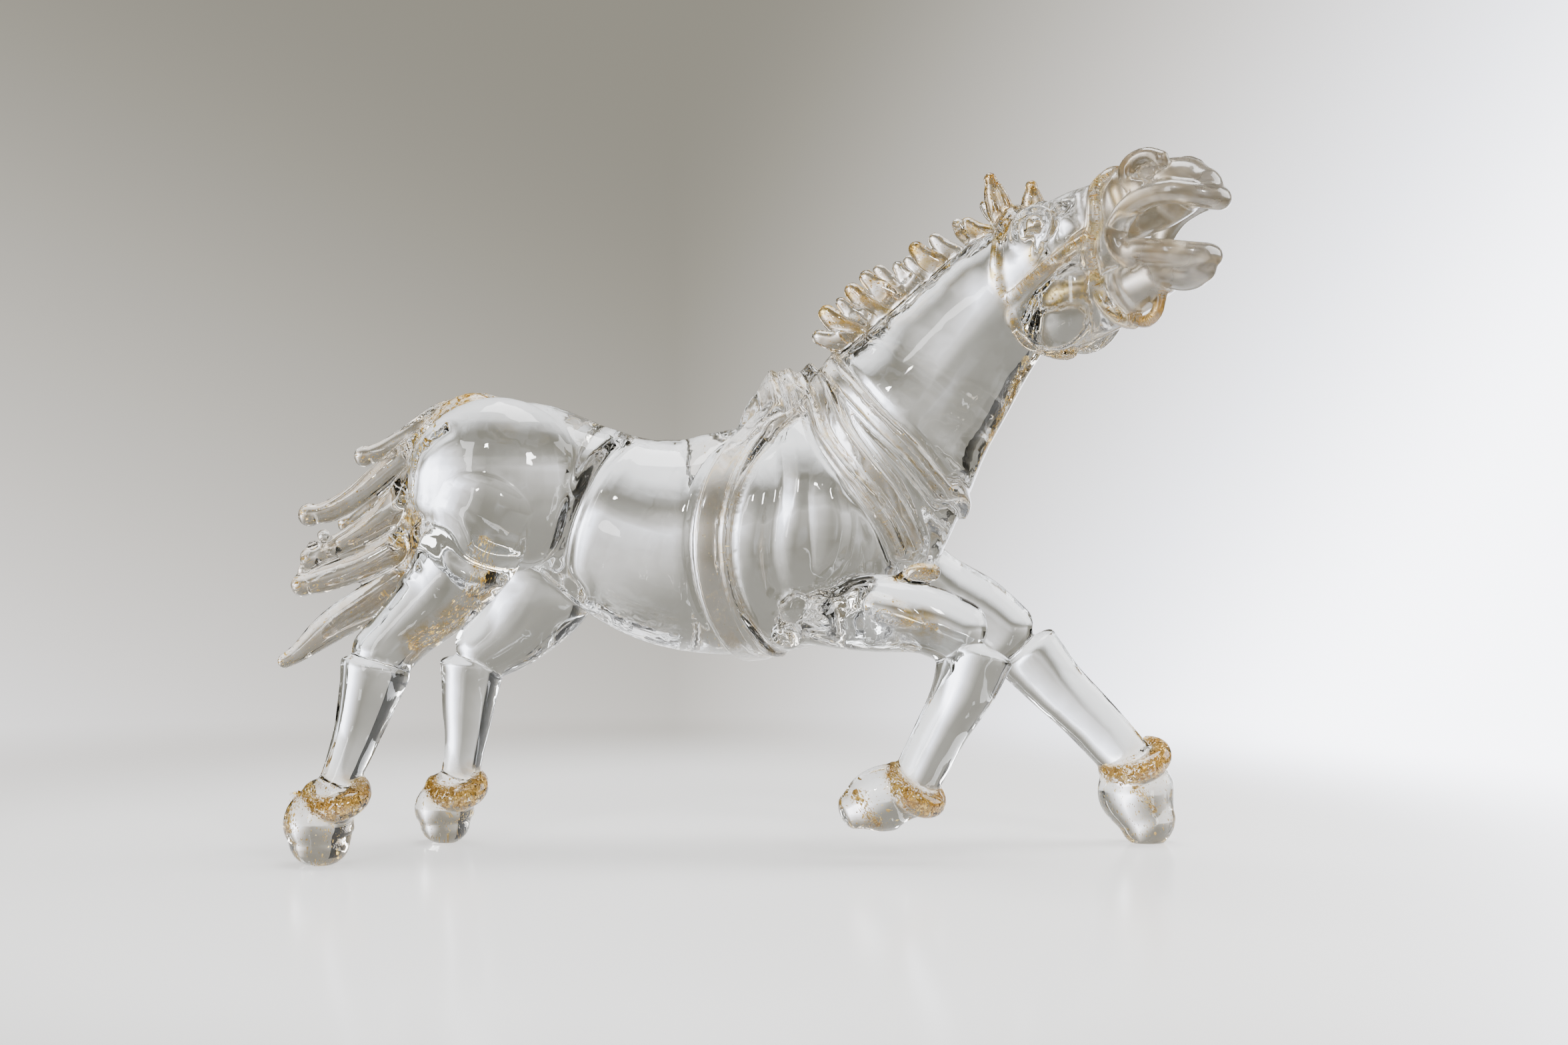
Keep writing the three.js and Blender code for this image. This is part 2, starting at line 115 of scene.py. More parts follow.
# centre, side, depth and half sizes of every ring of a drawn-out gather, with round ends
def ringsAlong(rows, across=crosswise, perSpan=5, capRings=5, startCap=0.8, endCap=0.8):
    rows = np.asarray(rows, float)
    sides = np.tile(across, (len(rows), 1)) if np.ndim(across) == 1 else np.asarray(across, float)
    course, leads = throughRows(np.hstack([rows, sides]), perSpan)
    along = unit(leads[:, :3])
    side = course[:, 5:8]
    side = unit(side - along * (side * along).sum(1, keepdims=True))
    deep = np.cross(along, side)
    half = np.maximum(course[:, 3:5], drawing["thinnest"])
    reach = half.mean(1)
    quarter = math.pi / 2 / capRings
    rings = []
    for i in range(capRings):
        out = -startCap * math.cos(i * quarter) * reach[0]
        grown = half[0] * math.sin(i * quarter)
        rings.append((course[0, :3] + along[0] * out, side[0], deep[0], grown))
    for i in range(len(course)):
        rings.append((course[i, :3], side[i], deep[i], half[i]))
    for i in range(1, capRings + 1):
        out = endCap * math.sin(i * quarter) * reach[-1]
        shrunk = half[-1] * math.cos(i * quarter)
        rings.append((course[-1, :3] + along[-1] * out, side[-1], deep[-1], shrunk))
    return [np.array(part) for part in zip(*rings)]


def ballSpots(piece):
    spots = np.empty(len(piece.data.vertices) * 3)
    piece.data.vertices.foreach_get("co", spots)
    return spots.reshape(-1, 3)


def settle(piece, name, spots):
    piece.name = name
    piece.data.name = name
    piece.data.vertices.foreach_set("co", toMetres(spots).ravel())
    piece.data.update()
    return piece


# hot glass drawn out along rows: a ball whose rings are set one after another on the course
def pullGlass(name, rows, around=20, square=1.0, **options):
    centre, side, deep, half = ringsAlong(rows, **options)
    count = len(centre) - 1
    bpy.ops.mesh.primitive_uv_sphere_add(segments=around, ring_count=count, radius=1)
    piece = bpy.context.object
    spots = ballSpots(piece)
    ring = np.rint(np.arccos(np.clip(spots[:, 2], -1, 1)) / math.pi * count).astype(int)
    turn = np.arctan2(spots[:, 1], spots[:, 0])
    across, up = (np.sign(v) * np.abs(v) ** square for v in (np.cos(turn), np.sin(turn)))
    wide = side[ring] * (half[ring, 0] * across)[:, None]
    thick = deep[ring] * (half[ring, 1] * up)[:, None]
    return settle(piece, name, centre[ring] + wide - thick)


# a rounded gather, in the body's directions or the head's
def addLump(name, at, half, axes=None, around=30, rows=20):
    bpy.ops.mesh.primitive_uv_sphere_add(segments=around, ring_count=rows, radius=1)
    piece = bpy.context.object
    spots = ballSpots(piece) * half
    if axes is not None:
        spots = spots @ axes
    return settle(piece, name, spots + at)


# the body and neck
bodyForm = {
    "trunk": [
        [-156, spine, 188, 25, 25],
        [-132, spine, 186, 33, 36],
        [-102, spine, 172, 35, 40],
        [-77, spine, 159, 40, 47],
        [-54, spine, 152, 44, 52],
        [-31, spine, 151, 47, 55],
        [-6, spine, 154, 48, 57],
        [23, spine, 163, 46, 60],
        [44, spine, 162, 41, 52],
        [60, spine, 160, 31, 38],
    ],
    "neck": [
        [34, spine, 168, 42, 49],
        [54, spine, 205, 39, 47],
        [74, 6, 231, 33, 40],
        [95, 0, 257, 28, 34],
        [111, -7, 275, 25, 30],
        [120, -13, 284, 22, 25],
    ],
    "withers": ((10, spine, 203), (33, 22, 33)),
    "haunch": ((-139, 21, 179), (43, 27, 43)),  # the second number is out from the spine
    "shoulder": ((20, 23, 160), (29, 25, 44)),
    "breast": ((60, 15, 168), (17, 16, 24)),
}


def bothFlanks(name, form):
    (x, out, z), half = form
    return [addLump(name, (x, spine + sign * out, z), half) for sign in (-1, 1)]


body = [
    pullGlass("trunk", bodyForm["trunk"], around=48, perSpan=6, capRings=8, endCap=0.6),
    pullGlass("neck", bodyForm["neck"], around=40, perSpan=7, capRings=6),
    addLump("withers", *bodyForm["withers"]),
]
for part in ("haunch", "shoulder", "breast"):
    body += bothFlanks(part, bodyForm[part])

# the legs
legForm = {
    "nearThigh": [
        [-141, -22, 171, 22, 27],
        [-150, -24, 148, 20, 24],
        [-164, -28, 127, 16, 20],
        [-181, -33, 109, 13, 15.5],
        [-191, -36, 97, 12, 15],
    ],
    "nearHindShin": [
        [-193, -36, 92, 14, 17],
        [-196, -37, 80, 12.5, 14.5],
        [-201, -39, 62, 10, 11.5],
        [-207, -41, 45, 8.5, 9.5],
        [-212, -42, 32, 9, 9.5],
    ],
    "nearHindHoof": [
        [-214, -42, 30, 13, 13.5],
        [-218, -42, 20, 15.5, 17],
        [-218, -43, 11, 13, 14.5],
    ],
    "farThigh": [
        [-118, 22, 158, 20, 29],
        [-121, 25, 131, 18, 28],
        [-136, 29, 109, 15, 21],
        [-152, 31, 96, 13, 16],
    ],
    "farHindShin": [
        [-157, 32, 90, 14, 16.5],
        [-159, 33, 70, 11.5, 13.5],
        [-161, 34, 49, 9.5, 10.5],
        [-164, 34, 31, 8.5, 9.5],
    ],
    "farHindHoof": [
        [-168, 34, 26, 12, 12.5],
        [-171, 34, 17, 14.5, 15.5],
        [-171, 34, 10.5, 12.5, 13],
    ],
    "nearForearm": [
        [4, -27, 113, 9, 9],
        [22, -31, 116, 14, 15],
        [45, -33, 118, 16, 18.5],
        [67, -34, 115, 15, 16.5],
        [84, -33, 108, 14, 16],
    ],
    "nearForeShin": [
        [91, -33, 99, 14.5, 18.5],
        [85, -33, 81, 13, 15],
        [75, -33, 63, 11.5, 12.5],
        [66, -33, 45, 10.5, 12],
        [62, -33, 37, 10, 11],
    ],
    "nearForeHoof": [
        [62, -33, 31, 10, 10],
        [52, -33, 31, 13.5, 15.5],
        [41, -33, 28, 13.5, 14.5],
        [32, -33, 24, 10, 9],
    ],
    "farForearm": [
        [51, 22, 142, 20, 27],
        [75, 28, 130, 15, 18],
        [97, 31, 118, 14, 17],
        [113, 32, 106, 13, 15.5],
    ],
    "farForeShin": [
        [123, 33, 96, 14, 17.5],
        [137, 33, 80, 12.5, 15],
        [150, 33, 67, 11.5, 14],
        [163, 33, 53, 10.5, 13.5],
        [173, 33, 42, 10, 13],
    ],
    "farForeHoof": [
        [176, 33, 36, 13, 17],
        [178, 33, 25, 14.5, 19.5],
        [183, 33, 12, 12, 14.5],
    ],
}
roundEnds = {
    "nearHindHoof": {"endCap": 0.9},
    "farHindHoof": {"endCap": 0.93},
    "nearForeHoof": {"endCap": 0.6},
    "farForeHoof": {"endCap": 1.12},
    "shins": {"startCap": 0.3},
}
legs = []
for part, rows in legForm.items():
    options = roundEnds.get(part, roundEnds["shins"] if part.endswith("Shin") else {})
    legs.append(pullGlass(part, rows, around=28, perSpan=6, **options))

# where leaf lies in the glass without a trail of its own
leafPlaces = {
    "thigh": [
        [-143, -30, 150, 8, 7],
        [-145, -32, 133, 10, 8],
        [-156, -35, 116, 9, 8],
        [-174, -38, 104, 7, 6],
    ],
    "throat": [
        [115, -8, 241, 4, 3],
        [108, -5, 222, 5, 3.5],
        [101, -2, 206, 5, 3.5],
        [92, 4, 188, 5, 3],
    ],
    "hooves": [
        [[-227, -45, 32, 4, 6], [-229, -45, 19, 4, 6]],
        [[-177, 31, 29, 6, 5], [-163, 30, 22, 6, 5]],
        [[36, -37, 31, 5, 5], [43, -39, 21, 5, 5]],
        [[176, 25, 28, 3, 5], [184, 25, 18, 2, 4]],
    ],
}
# rows, broad side and kind of all that holds gold leaf
leafy = [(leafPlaces[part], crosswise, "thigh") for part in ("thigh", "throat")]
leafy += [(rows, crosswise, "patch") for rows in leafPlaces["hooves"]]

# the gold rolls round the pasterns
rollForm = {
    "width": 10.5,
    "steps": 12,
    "from": 170,  # degrees round the pastern
    "to": 400,
    "ends": 0.72,  # how thick the ends are, as a share, and how much the middle swells
    "swell": 0.5,
    "taper": 0.25,
    "at": [  # where, the shin's lean, how far round it, how far the middle drops
        ((-211, -42, 36), (-0.3, 0, 1), (11, 11), 9),
        ((-166, 34, 32), (-0.2, 0, 1), (11, 11), 9),
        ((63, -33, 38), (0.5, 0, 1), (12, 11), 8),
        ((175, 33, 44), (-0.5, 0, 1), (14, 11), 8),
    ],
}


def roundRows(points, width):
    points = np.asarray(points, float)
    return np.hstack([points, np.full((len(points), 2), width / 2)])


# a crescent: thickest at the middle of its turn
def rollRows(at, lean, reach, drop):
    up = unit(lean)
    fore = unit(np.cross(crosswise, up))
    side = unit(np.cross(up, fore))
    points = []
    for i in range(rollForm["steps"] + 1):
        share = i / rollForm["steps"]
        turn = math.radians(rollForm["from"] + (rollForm["to"] - rollForm["from"]) * share)
        ring = fore * math.cos(turn) * reach[0] + side * math.sin(turn) * reach[1]
        points.append(at + ring - up * drop * math.sin(math.pi * share))
    rows = roundRows(points, rollForm["width"])
    turned = np.linspace(rollForm["taper"], math.pi - rollForm["taper"], len(rows))
    rows[:, 3:] *= rollForm["ends"] + rollForm["swell"] * np.sin(turned)[:, None]
    return rows, up


rolls = []
for at, lean, reach, drop in rollForm["at"]:
    rows, up = rollRows(np.array(at, float), lean, reach, drop)
    rolls.append(pullGlass("hoofRoll", rows, around=14, perSpan=3, across=up))
    leafy.append((rows, up, "roll"))

# the tail: a root drawn down the rump, and its locks
tailForm = {
    "locks": [
        [
            [-136, 1, 216, 8, 6], [-154, 0, 217, 9, 8], [-169, -1, 205, 10, 9],
            [-177, -2, 186, 11, 9], [-181, -4, 162, 11, 8], [-181, -6, 140, 9, 7],
        ],
        [
            [-150, 0, 219, 6, 6], [-168, 1, 213, 7, 7], [-183, 2, 204, 6.5, 6],
            [-196, 3, 197, 5.5, 5], [-206, 3, 194, 4.5, 4.5],
        ],
        [
            [-176, -5, 200, 7, 7], [-189, -8, 190, 6.5, 6.5], [-206, -12, 175, 6.5, 6],
            [-219, -14, 167, 5.5, 5.5], [-229, -15, 165, 4.5, 4.5],
        ],
        [
            [-175, -6, 186, 8, 9], [-186, -10, 172, 6, 9], [-198, -13, 161, 5.5, 7],
            [-211, -15, 153, 5.5, 5.5], [-228, -17, 144, 4.5, 4.5],
        ],
        [
            [-177, -7, 158, 8, 8], [-187, -11, 149, 7.5, 8], [-204, -15, 140, 7, 7],
            [-221, -17, 134, 6, 6.5], [-232, -17, 131, 4.5, 5],
        ],
        [
            [-178, -7, 139, 8, 9], [-187, -11, 131, 7.5, 9.5], [-202, -14, 121, 7, 9.5],
            [-218, -16, 111, 6, 8], [-233, -17, 99, 4.5, 5], [-241, -17, 94, 3.5, 3.5],
        ],
        [
            [-176, 6, 194, 7, 8], [-189, 11, 181, 6.5, 7], [-204, 15, 169, 6, 6],
            [-217, 17, 161, 4.5, 4.5],
        ],
        [
            [-178, 5, 168, 8, 8], [-190, 10, 156, 7, 8], [-206, 14, 148, 6, 7],
            [-224, 16, 143, 4.5, 5],
        ],
        [
            [-178, 3, 146, 8, 9], [-192, 8, 133, 7.5, 8], [-209, 12, 121, 6.5, 7],
            [-225, 13, 112, 4.5, 5],
        ],
    ],
    # the ball's radius at the end of a lock
    "tips": {1: 5.3, 2: 5.6, 3: 5.4, 4: 5.6, 6: 5.2, 7: 5.4, 8: 5.4},
    "curls": [
        ((-226, -19, 149), 3.6),
        ((-221, -21, 155), 3.2),
        ((-217, -20, 148), 3.4),
        ((-231, -16, 138), 3.6),
        ((-214, -20, 139), 3.0),
    ],
}
tail = []
for i, rows in enumerate(tailForm["locks"]):
    tail.append(pullGlass("tailLock", rows, around=18, perSpan=6))
    if i in tailForm["tips"]:
        radius = tailForm["tips"][i]
        tail.append(addLump("tailTip", rows[-1][:3], (radius,) * 3, around=18, rows=12))
    leafy.append((rows, crosswise, "root" if i == 0 else "lock"))
for at, radius in tailForm["curls"]:
    tail.append(addLump("tailCurl", at, (radius,) * 3, around=14, rows=10))

# the head, in its own directions: a along the face, b up the forehead, c to the near side
headForm = {
    "at": (112, -10, 285),
    "turn": 45,
    "lift": 14,
    "skull": [
        [-4, -2, 0, 18, 20],
        [12, -3, 0, 22, 28],
        [30, -4, 0, 22, 29],
        [48, 1, 0, 18, 23],
        [68, 5, 0, 16, 17],
        [88, 5, 0, 16, 16],
        [103, 4, 0, 15, 13],
        [112, 0, 0, 11, 9],
    ],
    "jaw": [
        [20, -32, 0, 15, 17],
        [45, -34, 0, 13, 14],
        [65, -33, 0, 12, 12],
        [84, -31, 0, 13, 9],
        [94, -34, 0, 13, 9],
        [101, -34, 0, 10, 8],
    ],
    "cheek": ((28, -26, 11), (24, 25, 12)),
    "eyeBall": ((30, 8, 19), (7.5, 5.8, 6)),
    "eyeRing": ((30, 8, 20), (11.5, 8.5), 4.2),
    "eyeRingSteps": 16,
    "eyeRingStart": 0.2,
    "eyeRingBulge": 0.5,
    "upperLip": [
        [77, -23, 15], [73, -17, 17], [74, -9, 18], [83, -2, 18.5], [94, 0, 18], [104, -1, 15.5],
        [111, -4, 11], [116, -6.5, 5], [117, -7, 0],
    ],
    "lowerLip": [
        [79, -20, 16], [87, -23, 16], [96, -26.5, 14], [102, -29, 9.5], [105, -30, 5],
        [105.5, -30, 0],
    ],
    "lipWidth": 11,
    "nostril": [
        [92, 6, 18], [86, 9, 18], [85.5, 15, 18], [90, 19, 17], [97, 19, 15.5], [103, 15, 14],
    ],
    "nostrilWidth": 7.5,
    "earAt": (8, 19, 12),
    "earLean": (0, 0.98, 0.17),
    "earHalf": (6.8, 3.8),
    "earWide": -0.9,  # how far the broad side turns from the face's line to across the head
    "earLength": 24,
    "earShape": ((-0.2, 0.7, 1), (0.2, 1, 1), (0.6, 0.85, 0.9), (0.9, 0.42, 0.7)),  # along, wide, deep
    "earHollow": ((0.05, 0.35, 0.68), 2.0, 2.6),
    "earTip": (1.5, 3.1),  # how far back from the end, and its radius
    "brow": ((46, 13, 14.5), (5.5, 4, 5)),
    "pouch": (27, -3.5, 21),
    "pouchWidth": 2.6,
    "pouchRing": [[-7, 3], [-6.5, -1], [-3, -4], [1, -3.5], [5, -0.5], [7, 3.5]],
}
turn, lift = math.radians(headForm["turn"]), math.radians(headForm["lift"])
face = np.array([math.cos(lift) * math.cos(turn), -math.cos(lift) * math.sin(turn), math.sin(lift)])
acrossHead = np.array([-math.sin(turn), -math.cos(turn), 0])
forehead = np.cross(acrossHead, face)
headAxes = np.array([face, forehead, acrossHead])


def onHead(points):
    return np.asarray(points, float) @ headAxes + headForm["at"]


def headRows(rows):
    rows = np.asarray(rows, float)
    return np.hstack([onHead(rows[:, :3]), rows[:, 3:]])


def otherCheek(points):
    return [[p[0], p[1], -p[2], *p[3:]] for p in points]


def bothCheeks(name, form, **options):
    at, half = form
    places = [onHead((at[0], at[1], sign * at[2])) for sign in (1, -1)]
    return [addLump(name, place, half, headAxes, **options) for place in places]


skull = [
    pullGlass("skull", headRows(headForm["skull"]), around=36, perSpan=6, across=acrossHead),
    pullGlass("jaw", headRows(headForm["jaw"]), around=30, perSpan=6, across=acrossHead),
    *bothCheeks("cheek", headForm["cheek"]),
]

hollows = []  # what is pressed in from the near side, as (along, how deep, how wide)
features = bothCheeks("eyeBall", headForm["eyeBall"])
for sign in (1, -1):
    (a, b, c), (halfA, halfB), width = headForm["eyeRing"]
    steps, bulge = headForm["eyeRingSteps"], headForm["eyeRingBulge"]
    ring = []
    for i in range(steps + 1):
        angle = 2 * math.pi * i / steps + headForm["eyeRingStart"]
        out = sign * (c + bulge - bulge * abs(math.sin(angle)))
        ring.append((a + halfA * math.cos(angle), b + halfB * math.sin(angle), out))
    for part in (ring[: steps // 2 + 1], ring[steps // 2 :]):
        rows = roundRows(onHead(part), width)
        features.append(pullGlass("eyeRing", rows, around=12, perSpan=3, across=acrossHead))

    nostril = headForm["nostril"] if sign > 0 else otherCheek(headForm["nostril"])
    rows = roundRows(onHead(nostril), headForm["nostrilWidth"])
    features.append(pullGlass("nostril", rows, around=16, across=acrossHead))

    a, b, c = headForm["earLean"]
    lean = np.array([a, b, sign * c]) @ headAxes
    a, b, c = headForm["earAt"]
    root = onHead((a, b, sign * c))
    wide, deep = headForm["earHalf"]
    ear = [
        [*(root + lean * share * headForm["earLength"]), wide * w, deep * d]
        for share, w, d in headForm["earShape"]
    ]
    broad = face + headForm["earWide"] * acrossHead
    features.append(pullGlass("ear", ear, around=18, across=broad))
    leafy.append((ear, broad, "ear"))
    shares, deep, wide = headForm["earHollow"]
    hollows.append(([root + lean * share * headForm["earLength"] for share in shares], deep, wide))

    a, b, c = headForm["pouch"]
    rows = [(a + x, b + y, sign * c) for x, y in headForm["pouchRing"]]
    rows = roundRows(onHead(rows), headForm["pouchWidth"])
    features.append(pullGlass("eyePouch", rows, around=10, perSpan=4, across=acrossHead))
    (a, b, c), half = headForm["brow"]
    features.append(addLump("brow", onHead((a, b, sign * c)), half, headAxes))
    back, radius = headForm["earTip"]
    tip = root + lean * headForm["earLength"]
    features.append(addLump("earTip", tip - lean * back, (radius,) * 3))
for part in ("upperLip", "lowerLip"):
    lip = headForm[part] + otherCheek(headForm[part][:-1])[::-1]
    rows = roundRows(onHead(lip), headForm["lipWidth"])
    features.append(pullGlass(part, rows, around=20, across=forehead))

leafy += [(rows, crosswise, "hoof") for part, rows in legForm.items() if part.endswith("Hoof")]

print("body, legs and head drawn")

# what is laid over the glass: bridle, harness and mane
layForm = {"sunk": 0.3, "lift": 4, "castFrom": 200}


def meshOf(pieces):
    spots, faces = [], []
    for piece in pieces:
        first = len(spots)
        spots += [v.co.copy() for v in piece.data.vertices]
        faces += [[first + i for i in face.vertices] for face in piece.data.polygons]
    return BVHTree.FromPolygons(spots, faces)


# finds the glass under a rough point, looking in towards the nearest place on the core line
def skinFinder(pieces, core):
    tree, core = meshOf(pieces), np.asarray(core, float)

    def find(point):
        point = np.asarray(point, float)
        best = None
        for a, b in zip(core[:-1], core[1:]):
            share = np.clip(np.dot(point - a, b - a) / np.dot(b - a, b - a), 0, 1)
            spot = a + (b - a) * share
            if best is None or np.linalg.norm(point - spot) < np.linalg.norm(point - best):
                best = spot
        out = unit(point - best)
        start = Vector(toMetres(best + out * layForm["castFrom"]))
        hit = tree.ray_cast(start, Vector(-out), layForm["castFrom"] * drawing["scale"])[0]
        return (toDrawing(hit) if hit else point), out

    return find


bodySkin = skinFinder(body, [r[:3] for r in bodyForm["trunk"][:-1] + bodyForm["neck"]])
headSkin = skinFinder(skull, [onHead((a, b - 6, c)) for a, b, c, *_ in headForm["skull"]])


def onSkin(points, skin):
    spots, outs = (np.array(v) for v in zip(*(skin(p) for p in points)))
    return spots, outs, unit(np.cross(np.gradient(spots, axis=0), outs))


def laidRows(points, skin, width, thick, aside=0):
    thick = np.broadcast_to(thick, len(points))
    spots, outs, across = onSkin(points, skin)
    if aside:
        spots, outs, across = onSkin(spots + outs * layForm["lift"] + across * aside, skin)
    half = np.column_stack([np.full(len(points), width / 2), thick / 2])
    return np.hstack([spots + outs * (thick * (0.5 - layForm["sunk"]))[:, None], half]), across


trailEnds = {"perSpan": 3, "startCap": 0.5, "endCap": 0.5}


def dense(points, perSpan=3):
    return throughRows(points, perSpan)[0]


bridleForm = {
    "width": 6.8,
    "thick": 6,
    "trails": [
        [
            [10, 25, -2], [12, 21, 10], [10, 11, 18], [7, -1, 21], [4, -12, 22], [4, -24, 21],
            [6, -35, 18], [9, -43, 12], [17, -50, 4], [22, -52, -3],
        ],
        [
            [70, 24, -2], [69, 23, 10], [64, 18, 17], [64, 8, 19], [61, -3, 20], [56, -12, 20],
            [54, -22, 18], [54, -32, 15], [57, -42, 9], [60, -46, -2],
        ],
        [[56, -6, 20], [42, -11, 21], [26, -17, 24], [8, -22, 21]],
    ],
    "curb": [[61, -45, 2], [69, -50, 3], [76, -48, 3], [80, -40, 2]],
}
bridle = []
for trail in bridleForm["trails"]:
    for way in (trail, otherCheek(trail)):
        way = dense(onHead(way))
        rows, across = laidRows(way, headSkin, bridleForm["width"], bridleForm["thick"])
        bridle.append(pullGlass("bridle", rows, around=14, across=across, **trailEnds))
        leafy.append((rows, across, "bridle"))
curb = roundRows(onHead(bridleForm["curb"]), bridleForm["thick"])
bridle.append(pullGlass("curb", curb, around=14, across=acrossHead))
leafy.append((curb, acrossHead, "bridle"))

harnessForm = {
    "girth": {
        "way": [
            [-3, 0, 230], [-5, 13, 226], [-13, 27, 216], [-25, 42, 198], [-33, 48, 170],
            [-35, 49, 148], [-31, 42, 124], [-19, 24, 101], [-7, 0, 91],
        ],
        "ridges": [(12.5, 8.4, -1.6), (4.6, 8, 7.4)],  # width, thickness, how far to the fore
        "edge": 10.3,
    },
    "breast": {
        "way": [
            [8, 0, 235], [10, 13, 231], [14, 27, 223], [20, 42, 206], [36, 48, 186], [52, 46, 167],
            [63, 38, 146],
        ],
        "ridges": [(9, 8.6, 3.4), (4.2, 7.6, -5)],
        "edge": 10,
    },
    "collar": {
        "way": [
            [21, 0, 243], [23, 13, 238], [29, 25, 230], [42, 38, 214], [60, 38, 196], [74, 26, 178],
            [81, 0, 166],
        ],
        "ridges": [(9, 8.4, 0)],
        "edge": 6.6,
    },
}
strapForm = {
    "overSpine": 0.45,  # how thick a strap is over the spine, as a share, and where it is full
    "fullAt": 28,
    "farSide": 0.4,  # and on the far flank, from here on
    "farFrom": 6,
    "thinUnder": 5,  # narrower ridges are on the near flank only
    "thinFrom": 12,
    "middle": 8,
}
harness = []
strapLines = []  # the middle of each strap and how far out its edges lie
for part, form in harnessForm.items():
    near = [[x, spine - out, z] for x, out, z in form["way"]]
    far = [[x, spine + out, z] for x, out, z in form["way"][1:]]
    way = dense(far[::-1] + near)
    full = np.clip(np.abs(way[:, 1] - spine) / strapForm["fullAt"], 0, 1)
    flat = strapForm["overSpine"] + (1 - strapForm["overSpine"]) * full
    flat = flat * np.where(way[:, 1] > spine + strapForm["farFrom"], strapForm["farSide"], 1)
    middle, _ = laidRows(way, bodySkin, strapForm["middle"], strapForm["middle"])
    strapLines.append((middle[:, :3], form["edge"]))
    for width, thick, fore in form["ridges"]:
        broad = width > strapForm["thinUnder"]
        start = 0 if broad else int(np.argmax(way[:, 1] < spine + strapForm["thinFrom"]))
        rows, across = laidRows(way[start:], bodySkin, width, thick * flat[start:], aside=-fore)
        harness.append(pullGlass(part, rows, around=28, square=0.5, across=across, **trailEnds))
        leafy.append((rows, across, "strap" if broad else "crackle"))

# the knobs at the elbow and the folds of amber glass by the forearm
elbowForm = {
    "knobs": [((5, -34, 121), (8, 6.5, 7)), ((2, -31, 108), (8.5, 7, 7.5))],
    "folds": [
        [
            [43, -43, 121, 8, 8], [52, -45, 118.5, 7, 7], [62, -46, 114.5, 4.5, 4],
            [71, -45, 111, 1.8, 1.6],
        ],
        [[53, -37, 132, 3, 3], [62, -37, 137, 5, 4.5], [71, -34, 137.5, 4, 4]],
    ],
}
for at, half in elbowForm["knobs"]:
    harness.append(addLump("elbowKnob", at, half))
for rows in elbowForm["folds"]:
    harness.append(pullGlass("amberFold", rows, around=20))
    leafy.append((rows, crosswise, "fold"))

maneForm = {
    "drops": [  # tip x and z, root x and z, thickness
        [14, 253, 35, 251, 8.5],
        [18, 267, 37, 256, 10.5],
        [26, 271, 42, 261, 6.5],
        [31, 278.5, 50, 266, 9.5],
        [38, 284, 57, 271, 8.5],
        [45, 288, 61, 275, 8],
        [54, 289, 66, 278, 7],
        [60, 292.5, 73, 281, 8.5],
        [62, 297.5, 79, 286, 9],
        [72, 303, 86, 292, 8.5],
        [83, 309, 93, 299, 6.5],
        [87, 309, 104, 300, 9],
        [96, 317, 108, 307, 7],
    ],
    "aside": 3.4,  # they lean to one side and the other in turn
    "tipOut": 1.3,
    "rootOut": 0.6,
    "bow": 0.12,
    "rooted": 7,
    "crestUnder": 3.5,
    "crest": 4.5,
    "gilt": (1, 3, 4, 8, 11),
}
mane, roots = [], []
crest = np.array([r[:3] for r in bodyForm["neck"]], float)
for i, (tipX, tipZ, rootX, rootZ, thick) in enumerate(maneForm["drops"]):
    middle = float(np.interp(rootX, crest[:, 0], crest[:, 1]))
    side = maneForm["aside"] if i % 2 else -maneForm["aside"]
    tip = np.array([tipX, middle + side * maneForm["tipOut"], tipZ])
    root = np.array([rootX, middle + side * maneForm["rootOut"], rootZ])
    lead = unit(tip - root)
    bow = np.cross(lead, crosswise) * maneForm["bow"] * thick
    half = thick / 2
    rows = [
        [*(root - lead * maneForm["rooted"]), half * 0.9, half],
        [*(root + lead * 1), half * 1.1, half * 1.3],
        [*((tip + root) / 2 + bow), half * 1.1, half * 1.2],
        [*(tip - lead * half * 0.75), half * 0.9, half * 0.92],
    ]
    roots.append([*(root - lead * maneForm["crestUnder"]), maneForm["crest"], maneForm["crest"]])
    mane.append(pullGlass("mane", rows, around=18, perSpan=6, endCap=0.95))
    leafy.append((rows, crosswise, "gilt" if i in maneForm["gilt"] else "mane"))
mane.append(pullGlass("crest", roots, around=18, perSpan=4))
print("bridle, harness and mane laid")

# all of it fused, as it was while hot
fusing = {
    "voxel": 0.00115,
    "rounds": 8,
    "press": 0.55,
    "release": -0.565,
    "faces": 196000,
    "inside": 0.0001,  # how far it stays within the solid's box
}

